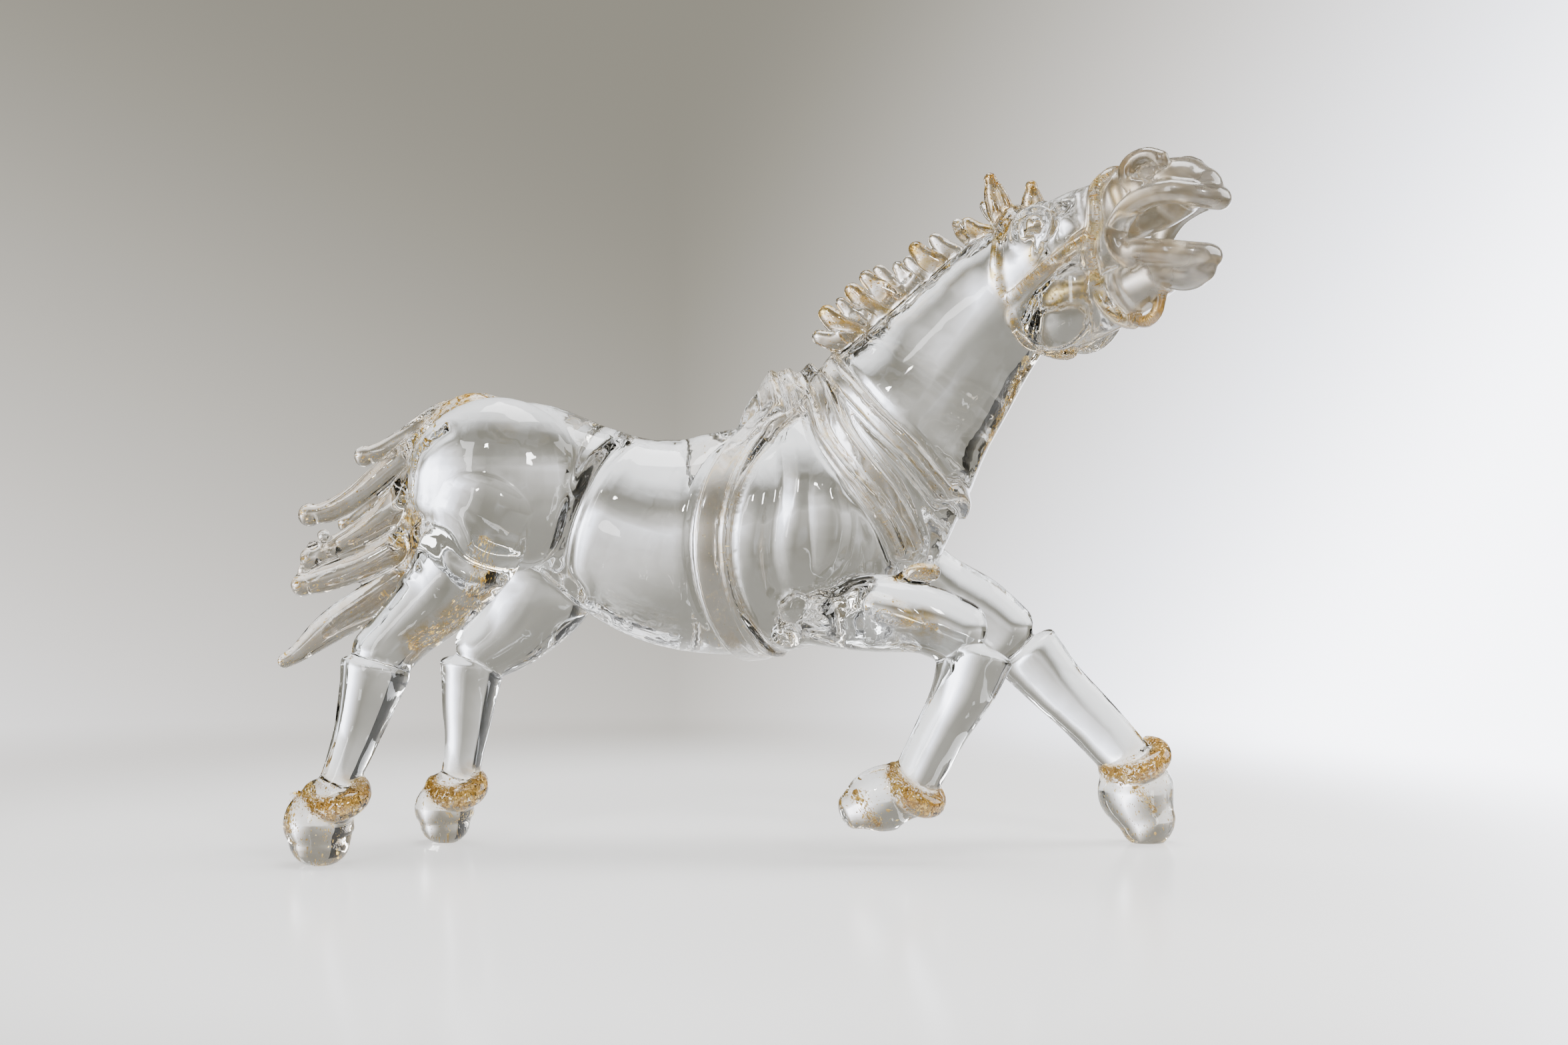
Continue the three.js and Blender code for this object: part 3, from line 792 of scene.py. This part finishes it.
# creases pressed into the flanks, as [x, z] along each, and holes on the head
pressForm = {
    "creases": [  # way, how deep, how wide, how high its lips, on which flanks
        (
            [[-70, 209], [-80, 199], [-88, 189], [-96, 174], [-103, 156], [-106, 139], [-101, 128]],
            (4.0, 3.4, 0.8, (-1, 1)),
        ),
        (
            [[-181, 163], [-168, 161], [-158, 157], [-152, 146], [-142, 140], [-130, 137], [-112, 134]],
            (3.0, 4.0, 0.8, (-1, 1)),
        ),
        ([[-160, 205], [-170, 198], [-177, 188], [-179, 165], [-180, 140]], (2.2, 3.0, 0.4, (-1, 1))),
        ([[-4, 200], [-2, 180], [-6, 150], [-3, 128]], (2.4, 5.0, 0.6, (-1,))),
        ([[30, 176], [34, 160], [30, 142], [22, 132]], (2.2, 4.5, 0.5, (-1,))),
    ],
    "lipAt": 2,
    "offSpine": 16,  # creases keep this far from the spine
    "farWide": 1.8,  # on the far flank they are wider and less deep
    "farDeep": 0.5,
    "holes": [((95, 13.5), 4.2, 3.4), ((30, 2), 1.2, 3.0)],  # (a, b) on the head, how deep, how wide
    "holesFrom": 9,  # how far to the side of the head they begin
    "hollowRim": (3, 1.5),
    "beside": 2.6,  # the glass is lower along a strap's edges
    "besideWide": 1.7,
    "besideFrom": (12, 14),  # out from the spine, and over how many mm it fades in
    "besideAbove": (108, 10),
    "besideFar": 0.3,
    "waver": 0.07,
    "waves": ((34, 1), (19, 0.5), (8, 0.16)),  # length in mm and share
    "seed": 3,
}


def nearLine(spots, line):
    line = np.asarray(line, float)
    best = np.full(len(spots), 1e9)
    for a, b in zip(line[:-1], line[1:]):
        share = np.clip((spots - a) @ (b - a) / ((b - a) @ (b - a)), 0, 1)
        best = np.minimum(best, np.linalg.norm(spots - a - share[:, None] * (b - a), axis=1))
    return best


def pressGlass(glass):
    spots = toDrawing(ballSpots(glass))
    normals = np.empty(len(spots) * 3)
    glass.data.vertex_normals.foreach_get("vector", normals)
    normals = normals.reshape(-1, 3)
    move = np.zeros(len(spots))
    flankOf, offSpine = np.sign(spots[:, 1] - spine), np.abs(spots[:, 1] - spine)
    outward = np.clip(flankOf * normals[:, 1] * 2, 0, 1) * (offSpine > pressForm["offSpine"])
    for way, (deep, wide, lip, flanks) in pressForm["creases"]:
        away = nearLine(spots[:, [0, 2]], dense(way)) / wide
        away = away / np.where(flankOf < 0, 1, pressForm["farWide"])
        push = deep * np.exp(-(away**2)) - lip * np.exp(-((away - pressForm["lipAt"]) ** 2))
        flank = outward * np.isin(flankOf, flanks) * np.where(flankOf < 0, 1, pressForm["farDeep"])
        move -= push * flank
    onStrap, beside = np.full(len(spots), np.inf), np.zeros(len(spots))
    for line, edge in strapLines:
        away = nearLine(spots, line) - edge
        onStrap = np.minimum(onStrap, away)
        beside = np.maximum(beside, np.exp(-((away / pressForm["besideWide"]) ** 2)))
    start, fade = pressForm["besideFrom"]
    flank = np.clip((offSpine - start) / fade, 0, 1)
    start, fade = pressForm["besideAbove"]
    flank *= np.clip((spots[:, 2] - start) / fade, 0, 1)
    flank *= np.where(spots[:, 1] < spine, 1, pressForm["besideFar"])
    move -= pressForm["beside"] * beside * np.clip(onStrap + 2, 0, 1) * flank
    inHead = (spots - headForm["at"]) @ headAxes.T
    for (a, b), deep, wide in pressForm["holes"]:
        away = np.hypot(inHead[:, 0] - a, inHead[:, 1] - b)
        facing = np.clip(np.sign(inHead[:, 2]) * (normals @ headAxes[2]) * 2, 0, 1)
        facing *= np.abs(inHead[:, 2]) > pressForm["holesFrom"]
        move -= deep * np.exp(-((away / wide) ** 2)) * facing
    for line, deep, wide in hollows:
        reach, fade = pressForm["hollowRim"]
        past = np.maximum(nearLine(spots, line) - reach, 0) / fade
        away = nearLine(spots[:, [0, 2]], np.array(line)[:, [0, 2]]) / wide
        push = deep * np.exp(-(past**2) - away**2)
        move -= push * np.clip(-normals[:, 1] * 2, 0, 1)
    rng = np.random.default_rng(pressForm["seed"])
    for size, share in pressForm["waves"]:
        for _ in range(3):
            wave = unit(rng.normal(size=3)) * 2 * math.pi / size
            move += pressForm["waver"] * share * np.sin(spots @ wave + rng.random() * 6.28)
    glass.data.vertices.foreach_set("co", toMetres(spots + normals * move[:, None]).ravel())
    glass.data.update()


def fuseGlass(pieces, name):
    deselectAll()
    for piece in pieces:
        piece.select_set(True)
    glass = pieces[0]
    bpy.context.view_layer.objects.active = glass
    bpy.ops.object.join()
    glass.name = glass.data.name = name
    bpy.ops.object.modifier_add(type="REMESH")
    melt = glass.modifiers[-1]
    melt.mode = "VOXEL"
    melt.voxel_size = fusing["voxel"]
    melt.use_smooth_shade = True
    bpy.ops.object.modifier_apply(modifier=melt.name)
    bpy.ops.object.mode_set(mode="EDIT")
    bpy.ops.mesh.select_all(action="SELECT")
    bpy.ops.mesh.separate(type="LOOSE")
    bpy.ops.object.mode_set(mode="OBJECT")
    parts = sorted(bpy.context.selected_objects, key=lambda part: -len(part.data.polygons))
    glass = parts[0]
    deselectAll()
    for bubble in parts[1:]:
        bubble.select_set(True)
    if len(parts) > 1:
        bpy.ops.object.delete()
    glass.select_set(True)
    bpy.context.view_layer.objects.active = glass
    glass.name = glass.data.name = name
    print("melted together:", len(glass.data.polygons), "faces,", len(parts) - 1, "bubbles closed")
    for _ in range(fusing["rounds"]):
        for factor in (fusing["press"], fusing["release"]):
            bpy.ops.object.modifier_add(type="SMOOTH")
            glass.modifiers[-1].factor = factor
            bpy.ops.object.modifier_apply(modifier=glass.modifiers[-1].name)
    pressGlass(glass)
    # eased into the solid's own corners, and ground flat where it stands
    spots = ballSpots(glass)
    low, high = np.array(cadBox)
    for axis in range(2):
        middle, reach = (low[axis] + high[axis]) / 2, (high[axis] - low[axis]) / 2 - fusing["inside"]
        away = spots[:, axis] - middle
        spots[:, axis] = middle + away * min(1, reach / np.abs(away).max())
    spots[:, 2] = np.maximum(spots[:, 2] * min(1, (high[2] - fusing["inside"]) / spots[:, 2].max()), 0)
    glass.data.vertices.foreach_set("co", spots.ravel())
    glass.data.update()
    bpy.ops.object.shade_smooth()
    paintTint(glass)
    return glass


# fewer faces, each still lit as the fine surface was
def thinFaces(glass):
    deselectAll()
    glass.select_set(True)
    bpy.context.view_layer.objects.active = glass
    bpy.ops.object.duplicate()
    fine = bpy.context.object
    deselectAll()
    glass.select_set(True)
    bpy.context.view_layer.objects.active = glass
    triangles = sum(len(p.vertices) - 2 for p in glass.data.polygons)
    bpy.ops.object.modifier_add(type="DECIMATE")
    glass.modifiers[-1].ratio = min(1, fusing["faces"] / triangles)
    bpy.ops.object.modifier_apply(modifier=glass.modifiers[-1].name)
    bpy.ops.object.modifier_add(type="DATA_TRANSFER")
    lent = glass.modifiers[-1]
    lent.object = fine
    lent.use_loop_data = True
    lent.data_types_loops = {"CUSTOM_NORMAL"}
    lent.loop_mapping = "POLYINTERP_NEAREST"
    bpy.ops.object.modifier_apply(modifier=lent.name)
    deselectAll()
    fine.select_set(True)
    bpy.context.view_layer.objects.active = fine
    bpy.ops.object.delete()


# how golden and how smoky the glass is at each place, with painted shade on the muzzle and along the
# straps' edges
tintForm = {
    "spread": 1.8,  # mm beyond the trail that holds the leaf
    "strength": {
        "roll": 0.85,
        "root": 1,
        "lock": 0.36,
        "ear": 0.9,
        "bridle": 1,
        "strap": 0.12,
        "crackle": 0.5,
        "mane": 0.42,
        "gilt": 1,
        "fold": 1,
        "thigh": 1,
        "hoof": 0.25,
        "patch": 0.8,
    },
    # painted shade: the muzzle's darker brown tint is partly a smoky glass and partly stands in for the
    # darkness that refraction through the mouth gives there
    "smokeAndShadeFrom": 22,  # along the face, in mm
    "smokeAndShadeTo": 78,
    "smokeAndShadeAbove": 235,  # in the drawing's height, and up the forehead
    "smokeAndShadeBelow": 45,
    "edges": {"strap": 1.0, "crackle": 0.9},  # painted shade: a darker amber line along a strap's edges, standing in for the dark refraction line there
    "edgeAt": 0.95,  # as a share of the strap's half width
    "edgeWide": 1.0,
    "misty": {"strap": 0.45, "lock": 0.12, "mane": 0.15, "crackle": 0.1},
}


def paintTint(glass):
    spots = toDrawing(ballSpots(glass))
    inHead = (spots - headForm["at"]) @ headAxes.T
    reach = tintForm["smokeAndShadeTo"] - tintForm["smokeAndShadeFrom"]
    # the muzzle's tint rises along the face: partly smoky glass, partly painted shade for the darkness
    # refraction gives there
    smokeAndShade = np.clip((inHead[:, 0] - tintForm["smokeAndShadeFrom"]) / reach, 0, 1)
    smokeAndShade[(spots[:, 2] < tintForm["smokeAndShadeAbove"]) | (inHead[:, 1] > tintForm["smokeAndShadeBelow"])] = 0
    goldAndEdgeShade = np.zeros(len(spots))
    for rows, across, kind in leafy:
        rows = np.asarray(rows, float)
        line, half = rows[:, :3], rows[:, 3:5].mean(1)
        reach = half.max() + 3 * tintForm["spread"]
        close = np.all((spots > line.min(0) - reach) & (spots < line.max(0) + reach), axis=1)
        away = np.maximum(nearLine(spots[close], line) - half.mean(), 0)
        share = np.exp(-((away / tintForm["spread"]) ** 2))
        goldAndEdgeShade[close] = np.maximum(goldAndEdgeShade[close], tintForm["strength"][kind] * share)
        # painted shade: a strap's edges get a darker amber line, standing in for the dark line that
        # refraction draws along them
        if kind in tintForm["edges"]:
            at = np.flatnonzero(close)[away < tintForm["spread"]]
            nearest = np.linalg.norm(spots[at, None] - line, axis=2).argmin(1)
            aside = np.abs(((spots[at] - line[nearest]) * across[nearest]).sum(1))
            past = aside - tintForm["edgeAt"] * rows[:, 3].max()
            edgeShade = np.exp(-((past / tintForm["edgeWide"]) ** 2))
            goldAndEdgeShade[at] = np.maximum(goldAndEdgeShade[at], tintForm["edges"][kind] * edgeShade)
        smokeAndShade[close] = np.maximum(smokeAndShade[close], tintForm["misty"].get(kind, 0) * share)
    print("tinted:", int((goldAndEdgeShade > 0.3).sum()), "golden and", int((smokeAndShade > 0.3).sum()), "smoky places")
    for name, values in (("goldAndEdgeShade", goldAndEdgeShade), ("smokeAndShade", smokeAndShade)):
        layer = glass.data.attributes.new(name, "FLOAT", "POINT")
        layer.data.foreach_set("value", values.astype(np.float32))


gathers = body + legs + rolls + tail + skull + features
horse = fuseGlass(gathers + bridle + harness + mane, "glass_horse")
thinFaces(horse)
print("fused:", len(horse.data.polygons), "faces")


def node(tree, kind, inputs=None, **settings):
    made = tree.nodes.new(kind)
    for key, value in settings.items():
        setattr(made, key, value)
    for key, value in (inputs or {}).items():
        if isinstance(value, bpy.types.NodeSocket):
            tree.links.new(value, made.inputs[key])
        else:
            made.inputs[key].default_value = value
    return made


glassForm = {
    "clear": (0.86, 0.88, 0.9, 1),
    "amber": (0.58, 0.36, 0.075, 1),
    # a darker brown: the misty tint of straps, locks and mane, and on the muzzle partly painted shade
    "smokeAndShade": (0.36, 0.26, 0.12, 1),
    "mist": 0.36,
    "ior": 1.5,
    "cloud": 160,
    "cloudy": {"From Min": 0.36, "From Max": 0.6, "To Min": 0.2, "To Max": 1.0},
    "drift": 55,
    "drifting": {"From Min": 0.3, "From Max": 0.7, "To Min": 0.45, "To Max": 1.0},
    "ripple": 90,
    "rippled": {"Strength": 0.12, "Distance": 0.0006},
}


def glassMaterial():
    look = bpy.data.materials.new("clearGlass")
    look.use_nodes = True
    tree = look.node_tree
    shader = tree.nodes["Principled BSDF"]
    shader.inputs["IOR"].default_value = glassForm["ior"]
    shader.inputs["Transmission Weight"].default_value = 1
    place = node(tree, "ShaderNodeTexCoord").outputs["Object"]
    noise = {"Vector": place, "Scale": glassForm["cloud"], "Detail": 3, "Roughness": 0.6}
    cloud = node(tree, "ShaderNodeTexNoise", noise).outputs["Fac"]
    # the gold leaf's amber tint, together with the painted shade along the straps' edges
    goldAndEdgeShade = node(tree, "ShaderNodeAttribute", attribute_name="goldAndEdgeShade").outputs["Fac"]
    patchy = node(tree, "ShaderNodeMapRange", {"Value": cloud, **glassForm["cloudy"]}).outputs["Result"]
    amber = node(tree, "ShaderNodeMath", {0: goldAndEdgeShade, 1: patchy}, operation="MULTIPLY").outputs["Value"]
    # smoky tint and, on the muzzle, painted shade standing in for refraction's darkness
    smokeAndShade = node(tree, "ShaderNodeAttribute", attribute_name="smokeAndShade").outputs["Fac"]
    noise = {"Vector": place, "Scale": glassForm["drift"], "Detail": 2}
    drift = node(tree, "ShaderNodeTexNoise", noise).outputs["Fac"]
    misty = node(tree, "ShaderNodeMapRange", {"Value": drift, **glassForm["drifting"]})
    misty = {0: smokeAndShade, 1: misty.outputs["Result"]}
    hazeAndShade = node(tree, "ShaderNodeMath", misty, operation="MULTIPLY").outputs["Value"]
    colours = {"Fac": hazeAndShade, "Color1": glassForm["clear"], "Color2": glassForm["smokeAndShade"]}
    smoky = node(tree, "ShaderNodeMixRGB", colours).outputs["Color"]
    colours = {"Fac": amber, "Color1": smoky, "Color2": glassForm["amber"]}
    golden = node(tree, "ShaderNodeMixRGB", colours).outputs["Color"]
    tree.links.new(golden, shader.inputs["Base Color"])
    dull = node(tree, "ShaderNodeMath", {0: hazeAndShade, 1: glassForm["mist"]}, operation="MULTIPLY")
    tree.links.new(dull.outputs["Value"], shader.inputs["Roughness"])
    tree.links.new(hazeAndShade, shader.inputs["Coat Weight"])
    noise = {"Vector": place, "Scale": glassForm["ripple"], "Detail": 1}
    ripple = node(tree, "ShaderNodeTexNoise", noise).outputs["Fac"]
    bump = node(tree, "ShaderNodeBump", {"Height": ripple, **glassForm["rippled"]})
    tree.links.new(bump.outputs["Normal"], shader.inputs["Normal"])
    return look


horse.data.materials.clear()
horse.data.materials.append(glassMaterial())
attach(horse, "root")
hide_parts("horse")

# the leaf sealed in the glass
leafForm = {
    "roll": {"count": 3200, "size": (0.5, 1.9), "depth": (0.2, 0.8), "long": (1, 0.8)},
    "root": {"count": 1500, "size": (0.6, 2.0), "depth": (0.4, 0.88), "long": (1.6, 0.7)},
    "hoof": {"count": 380, "size": (0.3, 1.2), "depth": (0.6, 0.85), "long": (1.6, 0.7)},
    "patch": {"count": 520, "size": (0.4, 1.6), "depth": (0.1, 0.8), "long": (1.3, 0.8)},
    "thigh": {"count": 900, "size": (0.5, 1.6), "depth": (0.3, 0.8), "long": (1.6, 0.6)},
    "lock": {"count": 420, "size": (0.25, 0.8), "depth": (0.5, 0.8), "long": (1.8, 0.6)},
    "ear": {"count": 600, "size": (0.4, 1.1), "depth": (0.5, 0.8), "long": (1.2, 0.8)},
    "bridle": {"count": 520, "size": (0.4, 1.3), "depth": (0.45, 0.75), "long": (0.5, 1.6)},
    "strap": {"count": 800, "size": (0.25, 0.85), "depth": (0.45, 0.8), "long": (1, 0.8)},
    "crackle": {"count": 240, "size": (0.4, 0.9), "depth": (0.5, 0.8), "long": (0.35, 3.0)},
    "mane": {"count": 170, "size": (0.3, 0.8), "depth": (0.5, 0.8), "long": (1, 0.8)},
    "gilt": {"count": 420, "size": (0.3, 1.0), "depth": (0.5, 0.8), "long": (1.4, 0.7)},
    "fold": {"count": 420, "size": (0.3, 0.9), "depth": (0.5, 0.8), "long": (1.4, 0.7)},
}
flakeForm = {
    "seed": 7,
    "corners": 5,
    "grown": (0.6, 0.8),  # a few are much larger
    "spin": 0.25,
    "tilt": 0.3,
    "curl": 0.12,
    "ragged": (0.5, 1.1),
}


def scatterLeaf(name):
    rng = np.random.default_rng(flakeForm["seed"])
    corners, curl = flakeForm["corners"], flakeForm["curl"]
    least, more = flakeForm["grown"]
    spots, faces = [], []
    for rows, across, kind in leafy:
        form = leafForm[kind]
        count = form["count"]
        length, breadth = form["long"]
        rings = ringsAlong(rows, across=across, perSpan=8, startCap=0.5, endCap=0.5)
        along = unit(np.gradient(rings[0], axis=0) + 1e-9)
        place = rng.random(count) * (len(along) - 1.001)
        low = place.astype(int)
        share = (place - low)[:, None]
        mid, sides, deeps, halves, leads = (
            values[low] * (1 - share) + values[low + 1] * share for values in (*rings, along)
        )
        turn = rng.random(count) * 2 * math.pi
        depth = rng.uniform(*form["depth"], count)
        aside = sides * (np.cos(turn) * halves[:, 0])[:, None]
        out = aside + deeps * (np.sin(turn) * halves[:, 1])[:, None]
        at = mid + out * depth[:, None]
        out = unit(out)
        first = unit(leads)
        spin = rng.normal(0, flakeForm["spin"], count)
        size = rng.uniform(*form["size"], count) * (least + more * rng.random(count) ** 3)
        second = unit(np.cross(out, first) + out * rng.normal(0, flakeForm["tilt"], (count, 1)))
        start = corners * len(faces)
        for k in range(corners):
            angle = spin + 2 * math.pi * k / corners
            reach = size / 2 * rng.uniform(*flakeForm["ragged"], count)
            lift = rng.uniform(-curl, curl, count) * size
            spot = at + first * (np.cos(angle) * reach * length)[:, None]
            spot = spot + second * (np.sin(angle) * reach * breadth)[:, None]
            spots.append(spot + out * lift[:, None])
        faces += [[start + k * count + i for k in range(corners)] for i in range(count)]
    mesh = bpy.data.meshes.new(name)
    mesh.from_pydata(toMetres(np.vstack(spots)).tolist(), [], faces)
    mesh.update()
    leaf = bpy.data.objects.new(name, mesh)
    bpy.context.collection.objects.link(leaf)
    return leaf


leaf = scatterLeaf("gold_leaf")
print("leaf:", len(leaf.data.polygons), "flakes")

goldForm = {
    "cloud": 420,
    "tones": [(0.32, (0.55, 0.34, 0.07, 1)), (0.58, (0.98, 0.75, 0.27, 1))],
    "dull": {"To Min": 0.5, "To Max": 0.22},
}


def leafMaterial():
    look = bpy.data.materials.new("goldLeaf")
    look.use_nodes = True
    tree = look.node_tree
    shader = tree.nodes["Principled BSDF"]
    place = node(tree, "ShaderNodeTexCoord").outputs["Object"]
    noise = {"Vector": place, "Scale": goldForm["cloud"], "Detail": 2}
    cloud = node(tree, "ShaderNodeTexNoise", noise).outputs["Fac"]
    shade = node(tree, "ShaderNodeValToRGB", {"Fac": cloud})
    ramp = shade.color_ramp.elements
    for element, (position, colour) in zip(ramp, goldForm["tones"]):
        element.position, element.color = position, colour
    tree.links.new(shade.outputs["Color"], shader.inputs["Base Color"])
    dull = node(tree, "ShaderNodeMapRange", {"Value": cloud, **goldForm["dull"]})
    tree.links.new(dull.outputs["Result"], shader.inputs["Roughness"])
    shader.inputs["Metallic"].default_value = 1
    return look


leaf.data.materials.append(leafMaterial())
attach(leaf, "root")

# stage, light and camera
# a glow round the figure, in stops: it rises to the right and falls upward
glowForm = {
    "exposure": -0.7,
    "darkestX": -0.05,
    "perX": 3.9,
    "perWay": 6.9,
    "turnBack": (0.42, -22),  # beyond this way out it grows darker again, by this much
    "perZ": -6.8,
    "lowest": -0.08,  # below this it grows darker again
    "perDepth": 16.0,
    "nearSide": -1.3,
    "bent": -0.45,  # for light that has been through the glass
    "least": -1.7,
    "most": 2.8,
    "ease": 0.8,
    "nearFrom": {"From Min": 0.4, "From Max": -0.3},
    "tones": [
        (0.0, (1.08, 1.02, 0.84, 1)),
        (0.42, (1.04, 1.0, 0.95, 1)),
        (0.75, (0.97, 0.99, 1.08, 1)),
    ],
}


def glowColour(tree, place, form):
    parts = node(tree, "ShaderNodeSeparateXYZ", {0: place}).outputs

    def worked(operation, *values):
        return node(tree, "ShaderNodeMath", dict(enumerate(values)), operation=operation).outputs[0]

    def plus(value, times, onto):
        return worked("MULTIPLY_ADD", value, times, onto)

    shifted = worked("SUBTRACT", parts["X"], form["darkestX"])
    way = worked("ABSOLUTE", shifted)
    near = node(tree, "ShaderNodeMapRange", {"Value": parts["Y"], **form["nearFrom"]}).outputs["Result"]
    start, slope = form["turnBack"]
    beyond = worked("MAXIMUM", plus(way, 1, -start), 0.0)
    stops = plus(way, form["perWay"], plus(shifted, form["perX"], form["exposure"]))
    stops = plus(beyond, slope, stops)
    height = worked("MAXIMUM", parts["Z"], form["lowest"])
    depth = worked("MINIMUM", parts["Z"], form["lowest"])
    stops = plus(plus(depth, 1, -form["lowest"]), form["perDepth"], stops)
    stops = plus(near, form["nearSide"], plus(height, form["perZ"], stops))
    direct = node(tree, "ShaderNodeLightPath").outputs["Is Camera Ray"]
    stops = plus(worked("SUBTRACT", 1.0, direct), form["bent"], stops)
    soft = worked("SMOOTH_MAX", stops, form["least"], form["ease"])
    soft = worked("SMOOTH_MIN", soft, form["most"], form["ease"])
    light = worked("POWER", 2.0, soft)
    reach = {"Value": soft, "From Min": form["least"], "From Max": form["most"]}
    share = node(tree, "ShaderNodeMapRange", reach).outputs["Result"]
    tone = node(tree, "ShaderNodeValToRGB", {"Fac": share})
    ramp = tone.color_ramp.elements
    ramp.new(0.5)
    for element, (position, colour) in zip(ramp, form["tones"]):
        element.position, element.color = position, colour
    return tone.outputs["Color"], light


world = bpy.context.scene.world or bpy.data.worlds.new("glow")
bpy.context.scene.world = world
world.use_nodes = True
tree = world.node_tree
colour, light = glowColour(tree, node(tree, "ShaderNodeTexCoord").outputs["Generated"], glowForm)
tree.links.new(colour, tree.nodes["Background"].inputs["Color"])
tree.links.new(light, tree.nodes["Background"].inputs["Strength"])

# a pale floor that fades into that glow
floorForm = {
    "size": 6,
    "colour": (0.86, 0.86, 0.87, 1),
    "rough": 0.16,
    "glow": 0.85,
    "fade": {"From Min": 0.32, "From Max": 0.75, "To Min": 1.0, "To Max": 0.0},
}
bpy.ops.mesh.primitive_circle_add(vertices=96, radius=floorForm["size"] / 2, fill_type="NGON")
floor = bpy.context.object
floor.name = "floor"
paper = bpy.data.materials.new("paper")
paper.use_nodes = True
tree = paper.node_tree
shader = tree.nodes["Principled BSDF"]
shader.inputs["Base Color"].default_value = floorForm["colour"]
shader.inputs["Roughness"].default_value = floorForm["rough"]
shader.inputs["Emission Color"].default_value = floorForm["colour"]
shader.inputs["Emission Strength"].default_value = floorForm["glow"]
place = node(tree, "ShaderNodeTexCoord").outputs["Object"]
away = node(tree, "ShaderNodeVectorMath", {0: place}, operation="LENGTH").outputs["Value"]
fade = {"Value": away, **floorForm["fade"]}
kept = node(tree, "ShaderNodeMapRange", fade, interpolation_type="SMOOTHSTEP").outputs["Result"]
tree.links.new(kept, shader.inputs["Alpha"])
floor.data.materials.append(paper)

# lamps: where, what they face, size, power
lampForm = [
    ("sideLamp", (2.4, 0.5, 1.3), (0.1, 0, 0.1), (1.6, 1.8), 60),
    ("overhead", (0.1, 0.2, 2.2), (0, 0, 0), (1.4, 1.0), 60),
    ("tallPane", (-1.1, -1.9, 0.9), (0, 0, 0.15), (0.3, 1.6), 22),
    ("lampA", (-0.5, -1.7, 1.35), (0, 0, 0.15), (0.1, 0.16), 10),
    ("lampB", (0.9, -1.7, 1.1), (0, 0, 0.15), (0.16, 0.3), 16),
]
for name, at, toward, size, power in lampForm:
    bpy.ops.object.light_add(type="AREA", location=at)
    lamp = bpy.context.object
    lamp.name = name
    lamp.data.shape = "RECTANGLE"
    lamp.data.size, lamp.data.size_y = size
    lamp.data.energy = power
    lamp.rotation_euler = (Vector(toward) - Vector(at)).to_track_quat("-Z", "Y").to_euler()
    lamp.visible_camera = False

# dark strips beside the figure, which draw its edges
# each is how far round it stands, how wide, and from what height to what
stripForm = {
    "reach": 1.5,
    "at": [(-58, 1.3, 0.04, 0.95), (118, 0.3, -0.3, 1.0), (-125, 0.35, -0.3, 1.0)],
    "colour": (0.006, 0.006, 0.005, 1),
    "rough": 0.9,
}
dark = bpy.data.materials.new("darkCloth")
dark.use_nodes = True
cloth = dark.node_tree.nodes["Principled BSDF"].inputs
cloth["Base Color"].default_value = stripForm["colour"]
cloth["Roughness"].default_value = stripForm["rough"]
cloth["Specular IOR Level"].default_value = 0
for turn, wide, low, high in stripForm["at"]:
    angle = math.radians(turn)
    spot = Vector((math.sin(angle), math.cos(angle), 0)) * stripForm["reach"]
    spot.z = (low + high) / 2
    bpy.ops.mesh.primitive_plane_add(size=1, location=spot, rotation=(math.pi / 2, 0, -angle))
    strip = bpy.context.object
    strip.name = "darkStrip"
    strip.scale = (wide, high - low, 1)
    strip.data.materials.append(dark)
    strip.visible_camera = False
print("stage lit")

cameraForm = {"lens": 50, "at": (21.0, -1044.1, 152), "pitch": 0.47}
bpy.ops.object.camera_add(
    location=[v * drawing["scale"] for v in cameraForm["at"]],
    rotation=(math.radians(90 + cameraForm["pitch"]), 0, 0),
)
camera = bpy.context.object
camera.data.lens = cameraForm["lens"]
camera.data.sensor_width = 36
camera.data.clip_start = 0.01
bpy.context.scene.camera = camera
